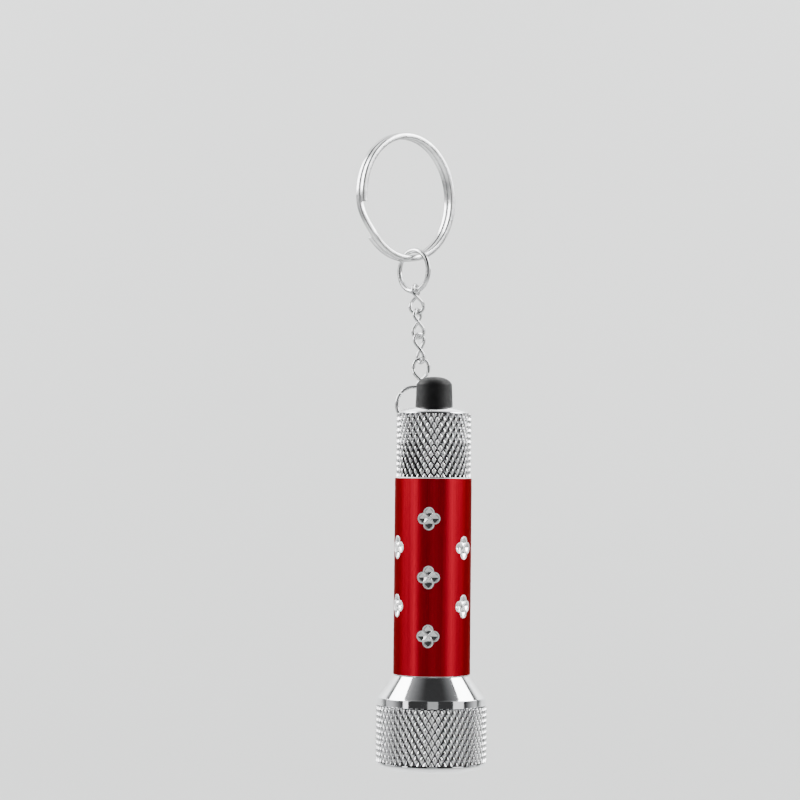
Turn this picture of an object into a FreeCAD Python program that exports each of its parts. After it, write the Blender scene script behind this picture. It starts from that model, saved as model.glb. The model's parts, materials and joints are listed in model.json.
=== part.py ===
"""Keychain flashlight: a small torch on a twisted chain and a split ring.

Bench frame while modelling: the torch axis is Z, the front rim lies at z = 0 and the tail is up.
Every finished piece is then moved so that the origin is the split ring's hanging point.
All lengths are millimetres and all angles are degrees.
"""
import FreeCAD, Part
import math
import os

V = FreeCAD.Vector

# ---------------------------------------------------------------- driving dimensions
# outside of the torch, from the front rim to the tail
FRONT_RING_HEIGHT = 1.25
FRONT_FACE_STEP = 1.4
HEAD_RADIUS = 9.9
HEAD_KNURL_LENGTH = 10.05
BAND_STEP = 0.2
BAND_LENGTH = 1.4
BAND_BEVEL = 0.2
CONE_LENGTH = 3.9
BARREL_WALL = 0.425
BARREL_LENGTH = 35.2
CAP_STEP = 0.2
CAP_KNURL_LENGTH = 11.25
CROWN_HEIGHT = 1.2
CROWN_EDGE = 0.4
CROWN_BULGE = 0.3
BUTTON_RADIUS = 3.35
BUTTON_DRAFT = 0.15
BUTTON_SHOULDER_HEIGHT = 3.95
BUTTON_DOME_HEIGHT = 1.5
BUTTON_ROUNDING = 1.2
BUTTON_TRAVEL = 1.5
SEAM = 0.05

# cut motifs on the barrel: four round lobes each, in columns that alternate two heights
MOTIF_COLUMNS = 6
MOTIF_PITCH = 10.35
MOTIF_FIRST_COLUMN = -96.8
LOBE_RADIUS = 1.02
LOBE_SPREAD = 1.06
LOBE_DEPTH = 0.22

# fits
RUN = 0.05
SEAT = 0.02
EDGE = 0.15

# screw threads between barrel, head and cap
THREAD_WALL = 0.4
NECK_WALL = 1.2
NECK_LENGTH = 4.5
THREAD_RUN_OUT = 0.5
THREAD_PITCH = 0.75
THREAD_DEPTH = 0.35
ORING_SECTION = 0.66
ORING_GROOVE = 0.9

# cells and their sleeve
CELL_RADIUS = 5.8
CELL_HEIGHT = 5.4
CELL_COUNT = 4
CELL_STEP = 0.5
SLEEVE_WALL = 0.15

# lens, reflector and lamps
LENS_REBATE = 0.6
LENS_THICKNESS = 1.4
LENS_BEVEL = 0.2
LENS_LIP = 0.85
GASKET_SECTION = 0.9
HEAD_RING_WALL = 1.5
SPIGOT_WALL = 0.6
SKIRT_WALL = 0.95
REFLECTOR_FLANGE = 0.5
REFLECTOR_DEPTH = 5.0
LED_COUNT = 5
LED_MARGIN = 0.2
LED_MOUTH = 0.35
LED_RADIUS = 2.5
LED_LENGTH = 8.0
LED_FLANGE_RADIUS = 2.65
LED_FLANGE = 0.8
LED_RECESS = 0.4
LEAD_RADIUS = 0.25
LEAD_SPACING = 2.54
LEAD_TAIL = 0.6
LEAD_MARGIN = 0.6
BOARD_THICKNESS = 1.0
RESISTOR_RADIUS = 0.8
RESISTOR_LENGTH = 3.6
RESISTOR_CAP = 1.1
RESISTOR_OFFSET = 3.4

# switch in the tail cap
CAP_TOP_WALL = 3.0
BUTTON_FLANGE_RADIUS = 5.0
BUTTON_FLANGE = 0.9
BUTTON_WALL = 1.15
BUTTON_ROOF = 1.9
PLUNGER_STEM = 1.2
PLUNGER_FOOT = 2.5
PLUNGER_FOOT_HEIGHT = 0.7
COVER_THICKNESS = 1.0
HOUSING_LENGTH = 7.6
HOUSING_WALL = 0.9
HOUSING_FLOOR = 1.0
HOUSING_LEDGE = 1.9
MOVING_CONTACT_RADIUS = 3.6
CONTACT_THICKNESS = 0.3
FIXED_CONTACT_BORE = 2.9
FIXED_CONTACT_HEIGHT = 0.7
RIVET_HEAD_RADIUS = 1.4
RIVET_HEAD = 0.45
RIVET_SHANK = 0.7
RETAINER_HEIGHT = 1.6
RETAINER_BORE = 3.9

# springs
SPRING_WIRE = 0.25
SWITCH_SPRING_RADIUS = 2.1
SWITCH_SPRING_TURNS = 4
CELL_SPRING_WIDE = 3.0
CELL_SPRING_NARROW = 1.8
NEGATIVE_SPRING_TURNS = 3
POSITIVE_SPRING_TURNS = 5

# ring through the cap's shoulder
CAP_RING_RADIUS = 3.2
CAP_RING_WIRE = 0.325
CAP_RING_SIDE = 3.175
CAP_RING_BACK = 1.975
CAP_RING_RISE = 0.55
CAP_RING_GAP = 4
CAP_RING_GAP_AT = 140
CAP_RING_TOP_AT = 71
RING_HOLE_SLOPE = 28
RING_HOLE_SPAN = 4.4
RING_HOLE_MOUTH = 0.3
RING_HOLE_FLARE = 1.1
RING_HOLE_CLEARANCE = 0.05

# twisted chain links from the torch up: inner length, inner width, azimuth of the top arc, twist, lean
LINK_WIRE = 0.3
LINK_PLAY = 0.12
LINKS = [
    ("chain_link_4", 5.4, 2.2, 12, 98, 1.2),
    ("chain_link_3", 4.65, 1.6, 40, 80, -5.5),
    ("chain_link_2", 4.55, 1.55, 60, 92, -3.4),
    ("chain_link_1", 4.55, 1.8, 64, 106, -4.6),
]

# jump ring and split ring
JUMP_RADIUS = 3.7
JUMP_WIRE = 0.45
JUMP_AZIMUTH = -46
JUMP_LEAN = -4
JUMP_PLAY = 0.38
JUMP_GAP = 1.6
JUMP_GAP_AT = 200
SPLIT_RADIUS = 11.05
SPLIT_WIDTH = 1.1
SPLIT_HEIGHT = 1.03
SPLIT_LAYER_GAP = 0.04
SPLIT_CORNER = 0.28
SPLIT_AZIMUTH = 44
SPLIT_PLAY = 0.45
SPLIT_OFFSET = 1.7
SPLIT_CROSSOVER = 34
SPLIT_CROSSOVER_AT = 205
CROSSOVER_SECTIONS = 7

# ---------------------------------------------------------------- derived radii
SLEEVE_BORE = CELL_RADIUS + RUN
CELL_BORE = SLEEVE_BORE + SLEEVE_WALL + RUN
THREAD_BORE = CELL_BORE + THREAD_WALL
NECK_RADIUS = THREAD_BORE - RUN
NECK_BORE = NECK_RADIUS - NECK_WALL
BARREL_RADIUS = THREAD_BORE + BARREL_WALL
CAP_RADIUS = BARREL_RADIUS - CAP_STEP
CROWN_RADIUS = BUTTON_RADIUS + CROWN_EDGE
BUTTON_SHOULDER_RADIUS = BUTTON_RADIUS - BUTTON_DRAFT
ORING_RADIUS = THREAD_BORE - SEAT - ORING_SECTION / 2
GROOVE_RADIUS = ORING_RADIUS - ORING_SECTION / 2 - SEAT
HOUSING_RADIUS = NECK_BORE - RUN
HOUSING_BORE = HOUSING_RADIUS - HOUSING_WALL
FRONT_FACE_RADIUS = HEAD_RADIUS - FRONT_FACE_STEP
BAND_RADIUS = HEAD_RADIUS - BAND_STEP
HEAD_BORE = HEAD_RADIUS - HEAD_RING_WALL
SKIRT_BORE = HEAD_BORE - SKIRT_WALL
LENS_RADIUS = HEAD_BORE - SPIGOT_WALL
APERTURE_RADIUS = LENS_RADIUS - LENS_REBATE
LED_CIRCLE = min(NECK_BORE - LEAD_MARGIN, SKIRT_BORE - LED_FLANGE_RADIUS - LED_MARGIN)

# ---------------------------------------------------------------- levels along the torch
Z_RING = FRONT_RING_HEIGHT
Z_BAND = Z_RING + HEAD_KNURL_LENGTH
Z_CONE = Z_BAND + BAND_LENGTH
Z_BARREL = Z_CONE + CONE_LENGTH
Z_CAP = Z_BARREL + BARREL_LENGTH
Z_SHOULDER = Z_CAP + SEAM + CAP_KNURL_LENGTH
Z_CROWN = Z_SHOULDER + CROWN_HEIGHT
Z_TOP = Z_CROWN + BUTTON_SHOULDER_HEIGHT + BUTTON_DOME_HEIGHT

Z_HEAD_NECK = Z_BARREL + NECK_LENGTH
Z_CAP_NECK = Z_CAP - NECK_LENGTH
Z_CELLS = (Z_HEAD_NECK + Z_CAP_NECK - CELL_COUNT * CELL_HEIGHT) / 2

Z_LENS = LENS_LIP + SEAT
Z_GASKET = Z_LENS + LENS_THICKNESS + SEAT
Z_REFLECTOR = Z_GASKET + GASKET_SECTION + SEAT
Z_SKIRT = Z_REFLECTOR + REFLECTOR_FLANGE + SEAT
Z_LED = Z_REFLECTOR + LED_RECESS
Z_BOARD = Z_LED + LED_LENGTH + SEAT
Z_BOARD_BACK = Z_BOARD + BOARD_THICKNESS

Z_CEILING = Z_CROWN - CAP_TOP_WALL
Z_FLANGE = Z_CEILING - SEAM - BUTTON_FLANGE
Z_COVER = Z_FLANGE - BUTTON_TRAVEL - 4 * SEAM - COVER_THICKNESS
Z_HOUSING = Z_COVER - HOUSING_LENGTH
Z_HOUSING_FLOOR = Z_HOUSING + HOUSING_FLOOR
Z_LEDGE = Z_HOUSING_FLOOR + HOUSING_LEDGE
Z_MOVING_CONTACT = Z_LEDGE + FIXED_CONTACT_HEIGHT + BUTTON_TRAVEL + 2 * SEAM
Z_FOOT = Z_MOVING_CONTACT + CONTACT_THICKNESS
CAP_RING_CENTRE = V(CAP_RING_SIDE - CAP_RADIUS, CAP_RADIUS - CAP_RING_BACK, Z_CROWN + CAP_RING_RISE)


# ---------------------------------------------------------------- helpers
def turned(start, *steps):
    """Solid of revolution about Z. A step is (r, z), or ((r, z), (r, z)) for an arc through the first."""
    edges = []
    here = V(start[0], 0, start[1])
    for step in steps + (start,):
        if isinstance(step[0], tuple):
            middle, end = (V(r, 0, z) for r, z in step)
            edges.append(Part.Arc(here, middle, end).toShape())
        else:
            end = V(step[0], 0, step[1])
            edges.append(Part.LineSegment(here, end).toShape())
        here = end
    return Part.Face(Part.Wire(edges)).revolve(V(0, 0, 0), V(0, 0, 1), 360)


def tube(outer, inner, low, high):
    return turned((inner, low), (outer, low), (outer, high), (inner, high))


def disc(radius, low, high):
    return Part.makeCylinder(radius, high - low, V(0, 0, low))


def bent_wire(radius, wire, centre, x_dir, y_dir, degrees):
    """Round wire bent about a centre, from x_dir towards y_dir."""
    x = V(x_dir).normalize()
    z = x.cross(y_dir).normalize()
    y = z.cross(x)
    segment = Part.makeTorus(radius, wire, V(0, 0, 0), V(0, 0, 1), 0, 360, degrees)
    segment.Placement = FreeCAD.Placement(FreeCAD.Matrix(
        x.x, y.x, z.x, centre.x, x.y, y.y, z.y, centre.y, x.z, y.z, z.z, centre.z, 0, 0, 0, 1))
    return segment


def straight_wire(wire, start, end):
    run = end - start
    return Part.makeCylinder(wire, run.Length, start, run)


def coil(bottom, top, bottom_radius, top_radius, turns):
    """Coil spring of half turns: each is an arc in a tilted plane, tangent to the next."""
    halves = 2 * turns
    points = []
    for i in range(halves + 1):
        t = i / halves
        radius = bottom_radius + (top_radius - bottom_radius) * t
        points.append(V(radius * (-1) ** i, 0, bottom + SPRING_WIRE + t * (top - bottom - 2 * SPRING_WIRE)))
    arcs = []
    for i in range(halves):
        centre = (points[i] + points[i + 1]) / 2
        start = points[i] - centre
        side = V(0, (-1) ** i, 0)
        arcs.append(bent_wire(start.Length, SPRING_WIRE, centre, start, side, 180))
    return arcs[0].multiFuse(arcs[1:])


def flat_dir(azimuth):
    return V(math.cos(math.radians(azimuth)), math.sin(math.radians(azimuth)), 0)


def ridges(low, high):
    """Outline points of a screw thread's ridges, from low to high, at the neck's radius."""
    count = int((high - low) / THREAD_PITCH)
    points = []
    for i in range(count):
        z = low + i * THREAD_PITCH
        points += [(NECK_RADIUS - THREAD_DEPTH, z + 0.1 * THREAD_PITCH),
                   (NECK_RADIUS, z + 0.45 * THREAD_PITCH),
                   (NECK_RADIUS, z + 0.6 * THREAD_PITCH),
                   (NECK_RADIUS - THREAD_DEPTH, z + 0.95 * THREAD_PITCH)]
    return points


# ---------------------------------------------------------------- head
def front_ring():
    spigot = HEAD_BORE - RUN
    counterbore = LENS_RADIUS + RUN
    return turned((APERTURE_RADIUS, EDGE), (APERTURE_RADIUS + EDGE, 0), (FRONT_FACE_RADIUS, 0),
                  (HEAD_RADIUS - EDGE, Z_RING - 2 * EDGE), (HEAD_RADIUS - EDGE, Z_RING - SEAT),
                  (spigot, Z_RING - SEAT), (spigot, Z_REFLECTOR - SEAT), (counterbore, Z_REFLECTOR - SEAT),
                  (counterbore, LENS_LIP), (APERTURE_RADIUS, LENS_LIP))


def head_ring():
    return turned((HEAD_BORE, Z_RING), (HEAD_RADIUS - EDGE, Z_RING), (HEAD_RADIUS, Z_RING + EDGE),
                  (HEAD_RADIUS, Z_BAND - SEAM - EDGE), (HEAD_RADIUS - EDGE, Z_BAND - SEAM),
                  (HEAD_BORE, Z_BAND - SEAM))


def head_housing():
    skirt = HEAD_BORE - RUN
    shoulder = Z_BARREL - SEAM
    groove = shoulder + ORING_GROOVE
    neck = [(BARREL_RADIUS - EDGE, shoulder), (GROOVE_RADIUS, shoulder), (GROOVE_RADIUS, groove),
            (NECK_RADIUS - THREAD_DEPTH, groove)] + ridges(groove, Z_HEAD_NECK)
    return turned((SKIRT_BORE, Z_SKIRT), (skirt, Z_SKIRT), (skirt, Z_BAND), (BAND_RADIUS, Z_BAND),
                  (BAND_RADIUS, Z_CONE - BAND_BEVEL), (BAND_RADIUS - BAND_BEVEL, Z_CONE), *neck,
                  (NECK_RADIUS - THREAD_DEPTH, Z_HEAD_NECK), (NECK_BORE, Z_HEAD_NECK),
                  (NECK_BORE, Z_BOARD_BACK + SEAT), (SKIRT_BORE, Z_BOARD_BACK + SEAT))


def lens():
    return turned((0, Z_LENS), (LENS_RADIUS - LENS_BEVEL, Z_LENS), (LENS_RADIUS, Z_LENS + LENS_BEVEL),
                  (LENS_RADIUS, Z_LENS + LENS_THICKNESS), (0, Z_LENS + LENS_THICKNESS))


def lens_gasket():
    section = GASKET_SECTION / 2
    return Part.makeTorus(LENS_RADIUS - section, section, V(0, 0, Z_GASKET + section))


def led_places():
    return [LED_CIRCLE * flat_dir(90 + i * 360 / LED_COUNT) for i in range(LED_COUNT)]


def reflector():
    body = disc(HEAD_BORE - RUN, Z_REFLECTOR, Z_REFLECTOR + REFLECTOR_FLANGE).fuse(
        disc(SKIRT_BORE - RUN, Z_REFLECTOR, Z_REFLECTOR + REFLECTOR_DEPTH))
    hole = LED_RADIUS + RUN
    for place in led_places():
        body = body.cut(Part.makeCylinder(hole, 2 * REFLECTOR_DEPTH, place + V(0, 0, Z_REFLECTOR - SEAM)))
        mouth = Part.makeCone(hole + LED_MOUTH, hole, 2 * LED_MOUTH, place + V(0, 0, Z_REFLECTOR - SEAM))
        body = body.cut(mouth)
    return body


def led(place):
    """Clear lamp with a domed front, a body and a flange at its foot."""
    dome = Z_LED + LED_RADIUS
    foot = Z_LED + LED_LENGTH
    diagonal = LED_RADIUS * math.sqrt(0.5)
    lamp = turned((0, Z_LED), ((diagonal, dome - diagonal), (LED_RADIUS, dome)),
                  (LED_RADIUS, foot - LED_FLANGE), (LED_FLANGE_RADIUS, foot - LED_FLANGE),
                  (LED_FLANGE_RADIUS, foot), (0, foot))
    lamp.translate(place)
    return lamp


def lead_places():
    """Two leads for each lamp, side by side around the circle."""
    places = []
    for place in led_places():
        across = V(0, 0, 1).cross(place).normalize()
        places += [place + across * side * LEAD_SPACING / 2 for side in (-1, 1)]
    return places


def led_leads():
    low = Z_LED + LED_LENGTH
    high = Z_BOARD_BACK + LEAD_TAIL
    leads = [Part.makeCylinder(LEAD_RADIUS, high - low, place + V(0, 0, low)) for place in lead_places()]
    return Part.makeCompound(leads)


def led_board():
    board = disc(SKIRT_BORE - RUN, Z_BOARD, Z_BOARD_BACK)
    for place in lead_places():
        foot = place + V(0, 0, Z_BOARD - SEAM)
        board = board.cut(Part.makeCylinder(LEAD_RADIUS + SEAT, 2 * BOARD_THICKNESS, foot))
    return board


def resistor():
    """Small resistor that lies on the back of the board, inside the housing's bore."""
    waist, tip = 0.85 * RESISTOR_RADIUS, 0.75 * RESISTOR_RADIUS
    bevel = RESISTOR_RADIUS - waist
    near, far = RESISTOR_CAP, RESISTOR_LENGTH - RESISTOR_CAP
    body = turned((0, 0), (tip, 0), (RESISTOR_RADIUS, 2 * bevel), (RESISTOR_RADIUS, near),
                  (waist, near + bevel), (waist, far - bevel), (RESISTOR_RADIUS, far),
                  (RESISTOR_RADIUS, RESISTOR_LENGTH - 2 * bevel), (tip, RESISTOR_LENGTH),
                  (0, RESISTOR_LENGTH))
    body.rotate(V(0, 0, 0), V(0, 1, 0), 90)
    body.translate(V(-RESISTOR_LENGTH / 2, -RESISTOR_OFFSET, Z_BOARD_BACK + RESISTOR_RADIUS + SEAT))
    return body


def positive_spring():
    return coil(Z_BOARD_BACK + SEAT, Z_CELLS - SEAT, CELL_SPRING_NARROW + 2 * SPRING_WIRE,
                CELL_SPRING_NARROW, POSITIVE_SPRING_TURNS)


def neck_oring(middle):
    return Part.makeTorus(ORING_RADIUS, ORING_SECTION / 2, V(0, 0, middle))


def head_oring():
    return neck_oring(Z_BARREL - SEAM + ORING_GROOVE / 2)


def tail_oring():
    return neck_oring(Z_CAP + SEAM - ORING_GROOVE / 2)


# ---------------------------------------------------------------- barrel and cells
def motif_places():
    """Azimuth and height of every cut motif, in columns of two and three."""
    places = []
    middle = (Z_BARREL + Z_CAP) / 2
    for column in range(MOTIF_COLUMNS):
        azimuth = MOTIF_FIRST_COLUMN + column * 360 / MOTIF_COLUMNS
        rows = 3 if column % 2 == 0 else 2
        for row in range(rows):
            places.append((azimuth, middle + (row - (rows - 1) / 2) * MOTIF_PITCH))
    return places


def lobe_cutters():
    ball = (LOBE_RADIUS ** 2 + LOBE_DEPTH ** 2) / (2 * LOBE_DEPTH)
    out = BARREL_RADIUS + ball - LOBE_DEPTH
    cutters = []
    for azimuth, height in motif_places():
        turn = math.degrees(LOBE_SPREAD / BARREL_RADIUS)
        for d_azimuth, d_height in ((turn, 0), (-turn, 0), (0, LOBE_SPREAD), (0, -LOBE_SPREAD)):
            centre = out * flat_dir(azimuth + d_azimuth) + V(0, 0, height + d_height)
            cutters.append(Part.makeSphere(ball, centre))
    return cutters


def barrel():
    threaded = NECK_LENGTH + THREAD_RUN_OUT
    body = turned((THREAD_BORE, Z_BARREL), (BARREL_RADIUS - EDGE, Z_BARREL), (BARREL_RADIUS, Z_BARREL + EDGE),
                  (BARREL_RADIUS, Z_CAP - EDGE), (BARREL_RADIUS - EDGE, Z_CAP), (THREAD_BORE, Z_CAP),
                  (THREAD_BORE, Z_CAP - threaded), (CELL_BORE, Z_CAP - threaded),
                  (CELL_BORE, Z_BARREL + threaded), (THREAD_BORE, Z_BARREL + threaded))
    return body.cut(Part.makeCompound(lobe_cutters()))


def battery_sleeve():
    return tube(SLEEVE_BORE + SLEEVE_WALL, SLEEVE_BORE, Z_HEAD_NECK + SEAM, Z_CAP_NECK - SEAM)


def battery(number):
    """Button cell: a can with a smaller raised terminal on its front face."""
    low = Z_CELLS + number * CELL_HEIGHT + SEAT / 2
    high = low + CELL_HEIGHT - SEAT
    return turned((0, low), (CELL_RADIUS - 2 * CELL_STEP, low),
                  (CELL_RADIUS - 2 * CELL_STEP, low + CELL_STEP),
                  (CELL_RADIUS - EDGE, low + CELL_STEP), (CELL_RADIUS, low + CELL_STEP + EDGE),
                  (CELL_RADIUS, high - EDGE), (CELL_RADIUS - EDGE, high), (0, high))


# ---------------------------------------------------------------- tail cap and switch
def ring_hole_frame():
    """Middle point and direction of the slanted hole that holds the cap ring."""
    slope = math.radians(RING_HOLE_SLOPE)
    direction = V(-math.cos(slope), 0, -math.sin(slope))
    away = V(math.sin(slope), 0, -math.cos(slope))
    chord = math.sqrt(CAP_RING_RADIUS ** 2 - (RING_HOLE_SPAN / 2) ** 2)
    return CAP_RING_CENTRE + away * (CAP_RING_RADIUS + chord) / 2, direction


def ring_hole():
    """Straight hole that the curved wire just fits, with a flared mouth at each end."""
    middle, direction = ring_hole_frame()
    half = RING_HOLE_SPAN / 2
    sagitta = CAP_RING_RADIUS - math.sqrt(CAP_RING_RADIUS ** 2 - half ** 2)
    radius = sagitta / 2 + CAP_RING_WIRE + RING_HOLE_CLEARANCE
    hole = Part.makeCylinder(radius, 2 * half, middle - direction * half, direction)
    for way in (direction, -direction):
        mouth = middle + way * (half - RING_HOLE_MOUTH)
        hole = hole.fuse(Part.makeCone(radius, radius + RING_HOLE_FLARE * half, half, mouth, way))
    return hole


def tail_cap():
    low = Z_CAP + SEAM
    groove = low - ORING_GROOVE
    neck = ridges(Z_CAP_NECK, groove - SEAM) + [(NECK_RADIUS - THREAD_DEPTH, groove), (GROOVE_RADIUS, groove),
                                                (GROOVE_RADIUS, low)]
    rim = (CAP_RADIUS, Z_SHOULDER)
    top = (CROWN_RADIUS, Z_CROWN)
    run, rise = rim[0] - top[0], top[1] - rim[1]
    bulge = (rim[0] - run / 2 + CROWN_BULGE * rise / math.hypot(run, rise),
             rim[1] + rise / 2 + CROWN_BULGE * run / math.hypot(run, rise))
    body = turned((NECK_BORE, Z_CAP_NECK), (NECK_RADIUS - THREAD_DEPTH, Z_CAP_NECK), *neck,
                  (CAP_RADIUS - EDGE, low), (CAP_RADIUS, low + EDGE), rim, (bulge, top),
                  (BUTTON_RADIUS + RUN, Z_CROWN), (BUTTON_RADIUS + RUN, Z_CEILING), (NECK_BORE, Z_CEILING))
    return body.cut(ring_hole())


def cap_middle(radius, foot, top):
    """Point halfway along the arc of a ball's cap, from its foot circle to its top on the axis."""
    rise = top - foot
    ball = (radius ** 2 + rise ** 2) / (2 * rise)
    half = math.asin(radius / ball) / 2
    return ball * math.sin(half), top - ball * (1 - math.cos(half))


def push_button():
    """Hollow rubber button: a tapered stem, a domed top and a sealing flange under the cap's top."""
    shoulder = Z_CROWN + BUTTON_SHOULDER_HEIGHT
    flange_top = Z_FLANGE + BUTTON_FLANGE
    socket = BUTTON_RADIUS - BUTTON_WALL
    dome_radius = BUTTON_SHOULDER_RADIUS - BUTTON_ROUNDING
    dome_foot = shoulder + 0.78 * BUTTON_DOME_HEIGHT
    return turned((socket, Z_FLANGE), (BUTTON_FLANGE_RADIUS, Z_FLANGE), (BUTTON_FLANGE_RADIUS, flange_top),
                  (BUTTON_RADIUS, flange_top), (BUTTON_RADIUS, Z_CROWN), (BUTTON_SHOULDER_RADIUS, shoulder),
                  ((BUTTON_SHOULDER_RADIUS - 0.36 * BUTTON_ROUNDING, shoulder + 0.46 * BUTTON_DOME_HEIGHT),
                   (dome_radius, dome_foot)), (cap_middle(dome_radius, dome_foot, Z_TOP), (0, Z_TOP)),
                  (0, Z_TOP - BUTTON_ROOF), (socket, Z_TOP - BUTTON_ROOF))


def switch_plunger():
    head = BUTTON_RADIUS - BUTTON_WALL - RUN
    return turned((0, Z_FOOT), (PLUNGER_FOOT, Z_FOOT), (PLUNGER_FOOT, Z_FOOT + PLUNGER_FOOT_HEIGHT),
                  (PLUNGER_STEM, Z_FOOT + PLUNGER_FOOT_HEIGHT), (PLUNGER_STEM, Z_FLANGE),
                  (head, Z_FLANGE), (head, Z_TOP - BUTTON_ROOF - SEAT), (0, Z_TOP - BUTTON_ROOF - SEAT))


def moving_contact():
    return disc(MOVING_CONTACT_RADIUS, Z_MOVING_CONTACT, Z_FOOT - SEAT)


def switch_cover():
    return tube(HOUSING_RADIUS, PLUNGER_STEM + RUN, Z_COVER + SEAT, Z_COVER + COVER_THICKNESS)


def switch_housing():
    well = FIXED_CONTACT_BORE
    shank = RIVET_SHANK + SEAT
    return turned((shank, Z_HOUSING), (HOUSING_RADIUS, Z_HOUSING), (HOUSING_RADIUS, Z_COVER),
                  (HOUSING_BORE, Z_COVER), (HOUSING_BORE, Z_LEDGE), (well, Z_LEDGE),
                  (well, Z_HOUSING_FLOOR), (shank, Z_HOUSING_FLOOR))


def fixed_contact():
    return tube(HOUSING_BORE - SEAT, FIXED_CONTACT_BORE, Z_LEDGE + SEAT, Z_LEDGE + FIXED_CONTACT_HEIGHT)


def switch_spring():
    return coil(Z_HOUSING_FLOOR + SEAT, Z_MOVING_CONTACT - SEAT, SWITCH_SPRING_RADIUS,
                SWITCH_SPRING_RADIUS, SWITCH_SPRING_TURNS)


def contact_rivet():
    low = Z_HOUSING - SEAT
    high = Z_HOUSING_FLOOR + SEAT
    return turned((0, low - RIVET_HEAD), (RIVET_HEAD_RADIUS, low - RIVET_HEAD), (RIVET_HEAD_RADIUS, low),
                  (RIVET_SHANK, low), (RIVET_SHANK, high), (RIVET_HEAD_RADIUS, high),
                  (RIVET_HEAD_RADIUS, high + RIVET_HEAD), (0, high + RIVET_HEAD))


def switch_retainer():
    high = Z_HOUSING - SEAT
    return tube(NECK_BORE - SEAT, RETAINER_BORE, high - RETAINER_HEIGHT, high)


def negative_spring():
    cells_top = Z_CELLS + CELL_COUNT * CELL_HEIGHT
    return coil(cells_top + SEAT, Z_HOUSING - 2 * SEAT - RIVET_HEAD, CELL_SPRING_NARROW,
                CELL_SPRING_WIDE, NEGATIVE_SPRING_TURNS)


# ---------------------------------------------------------------- cap ring and chain
def cap_ring():
    start = CAP_RING_GAP_AT + CAP_RING_GAP / 2
    x_dir = V(math.cos(math.radians(start)), 0, math.sin(math.radians(start)))
    y_dir = V(-x_dir.z, 0, x_dir.x)
    return bent_wire(CAP_RING_RADIUS, CAP_RING_WIRE, CAP_RING_CENTRE, x_dir, y_dir, 360 - CAP_RING_GAP)


def leaned(degrees):
    return V(math.sin(math.radians(degrees)), 0, math.cos(math.radians(degrees)))


def link_stack():
    """Lower and upper wire centres of each link, from the cap ring up."""
    angle = math.radians(CAP_RING_TOP_AT)
    hook = CAP_RING_CENTRE + CAP_RING_RADIUS * V(math.cos(angle), 0, math.sin(angle))
    low = hook - V(0, 0, CAP_RING_WIRE + LINK_WIRE + LINK_PLAY)
    stack = []
    for name, length, _, _, _, lean in LINKS:
        high = low + leaned(lean) * (length + 2 * LINK_WIRE)
        stack.append((name, low, high))
        low = high - V(0, 0, 2 * LINK_WIRE + LINK_PLAY)
    return stack


def chain_link(length, width, azimuth, twist, lean, low, high):
    """Twisted link: two half rings in crossed planes, joined by two leaning strands."""
    bend = width / 2 + LINK_WIRE
    half = length / 2 + LINK_WIRE - bend
    up, down = V(0, 0, half), V(0, 0, -half)
    top, bottom = flat_dir(azimuth), flat_dir(azimuth + twist)
    pieces = [bent_wire(bend, LINK_WIRE, up, top, V(0, 0, 1), 180),
              bent_wire(bend, LINK_WIRE, down, bottom, V(0, 0, -1), 180)]
    for side in (-1, 1):
        high_end = up + bend * side * top
        low_end = down + bend * side * bottom
        pieces.append(straight_wire(LINK_WIRE, low_end, high_end))
        pieces += [Part.makeSphere(LINK_WIRE, end) for end in (low_end, high_end)]
    link = pieces[0].multiFuse(pieces[1:])
    link.rotate(V(0, 0, 0), V(0, 1, 0), lean)
    link.translate((low + high) / 2)
    return link


def jump_centre():
    top_link = link_stack()[-1]
    bottom = top_link[2] - V(0, 0, LINK_WIRE + JUMP_WIRE + JUMP_PLAY)
    return bottom + leaned(JUMP_LEAN) * JUMP_RADIUS


def jump_ring():
    """Plain wire ring with a narrow butt joint."""
    side, up = flat_dir(JUMP_AZIMUTH), V(0, 0, 1)
    start = math.radians(JUMP_GAP_AT + JUMP_GAP / 2)
    x_dir = math.cos(start) * side + math.sin(start) * up
    y_dir = -math.sin(start) * side + math.cos(start) * up
    return bent_wire(JUMP_RADIUS, JUMP_WIRE, jump_centre(), x_dir, y_dir, 360 - JUMP_GAP)


def split_touch():
    """Centre of the split ring's double wire where the jump ring hangs on it."""
    top = jump_centre() + leaned(JUMP_LEAN) * JUMP_RADIUS
    return top - V(0, 0, JUMP_WIRE + SPLIT_PLAY + SPLIT_WIDTH / 2)


def split_centre():
    rise = math.sqrt(SPLIT_RADIUS ** 2 - SPLIT_OFFSET ** 2)
    return split_touch() - SPLIT_OFFSET * flat_dir(SPLIT_AZIMUTH) + V(0, 0, rise)


def wire_section(angle, shift):
    """Rounded flat-wire outline across the split ring, in the plane at this angle about local Z."""
    half_width, half_height = SPLIT_WIDTH / 2, SPLIT_HEIGHT / 2
    corner = SPLIT_CORNER
    out = flat_dir(angle)
    diagonal = corner * (1 - math.sqrt(0.5))

    def at(r, z):
        return out * (SPLIT_RADIUS + r) + V(0, 0, shift + z)

    edges = []
    for sr, sz in ((1, 1), (-1, 1), (-1, -1), (1, -1)):
        flip = sr * sz > 0
        a = at(sr * half_width, sz * (half_height - corner))
        b = at(sr * (half_width - corner), sz * half_height)
        middle = at(sr * (half_width - diagonal), sz * (half_height - diagonal))
        first, last = (a, b) if flip else (b, a)
        edges.append((first, middle, last))
    shapes = []
    for i, (first, middle, last) in enumerate(edges):
        shapes.append(Part.Arc(first, middle, last).toShape())
        shapes.append(Part.LineSegment(last, edges[(i + 1) % 4][0]).toShape())
    return Part.Wire(shapes)


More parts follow.
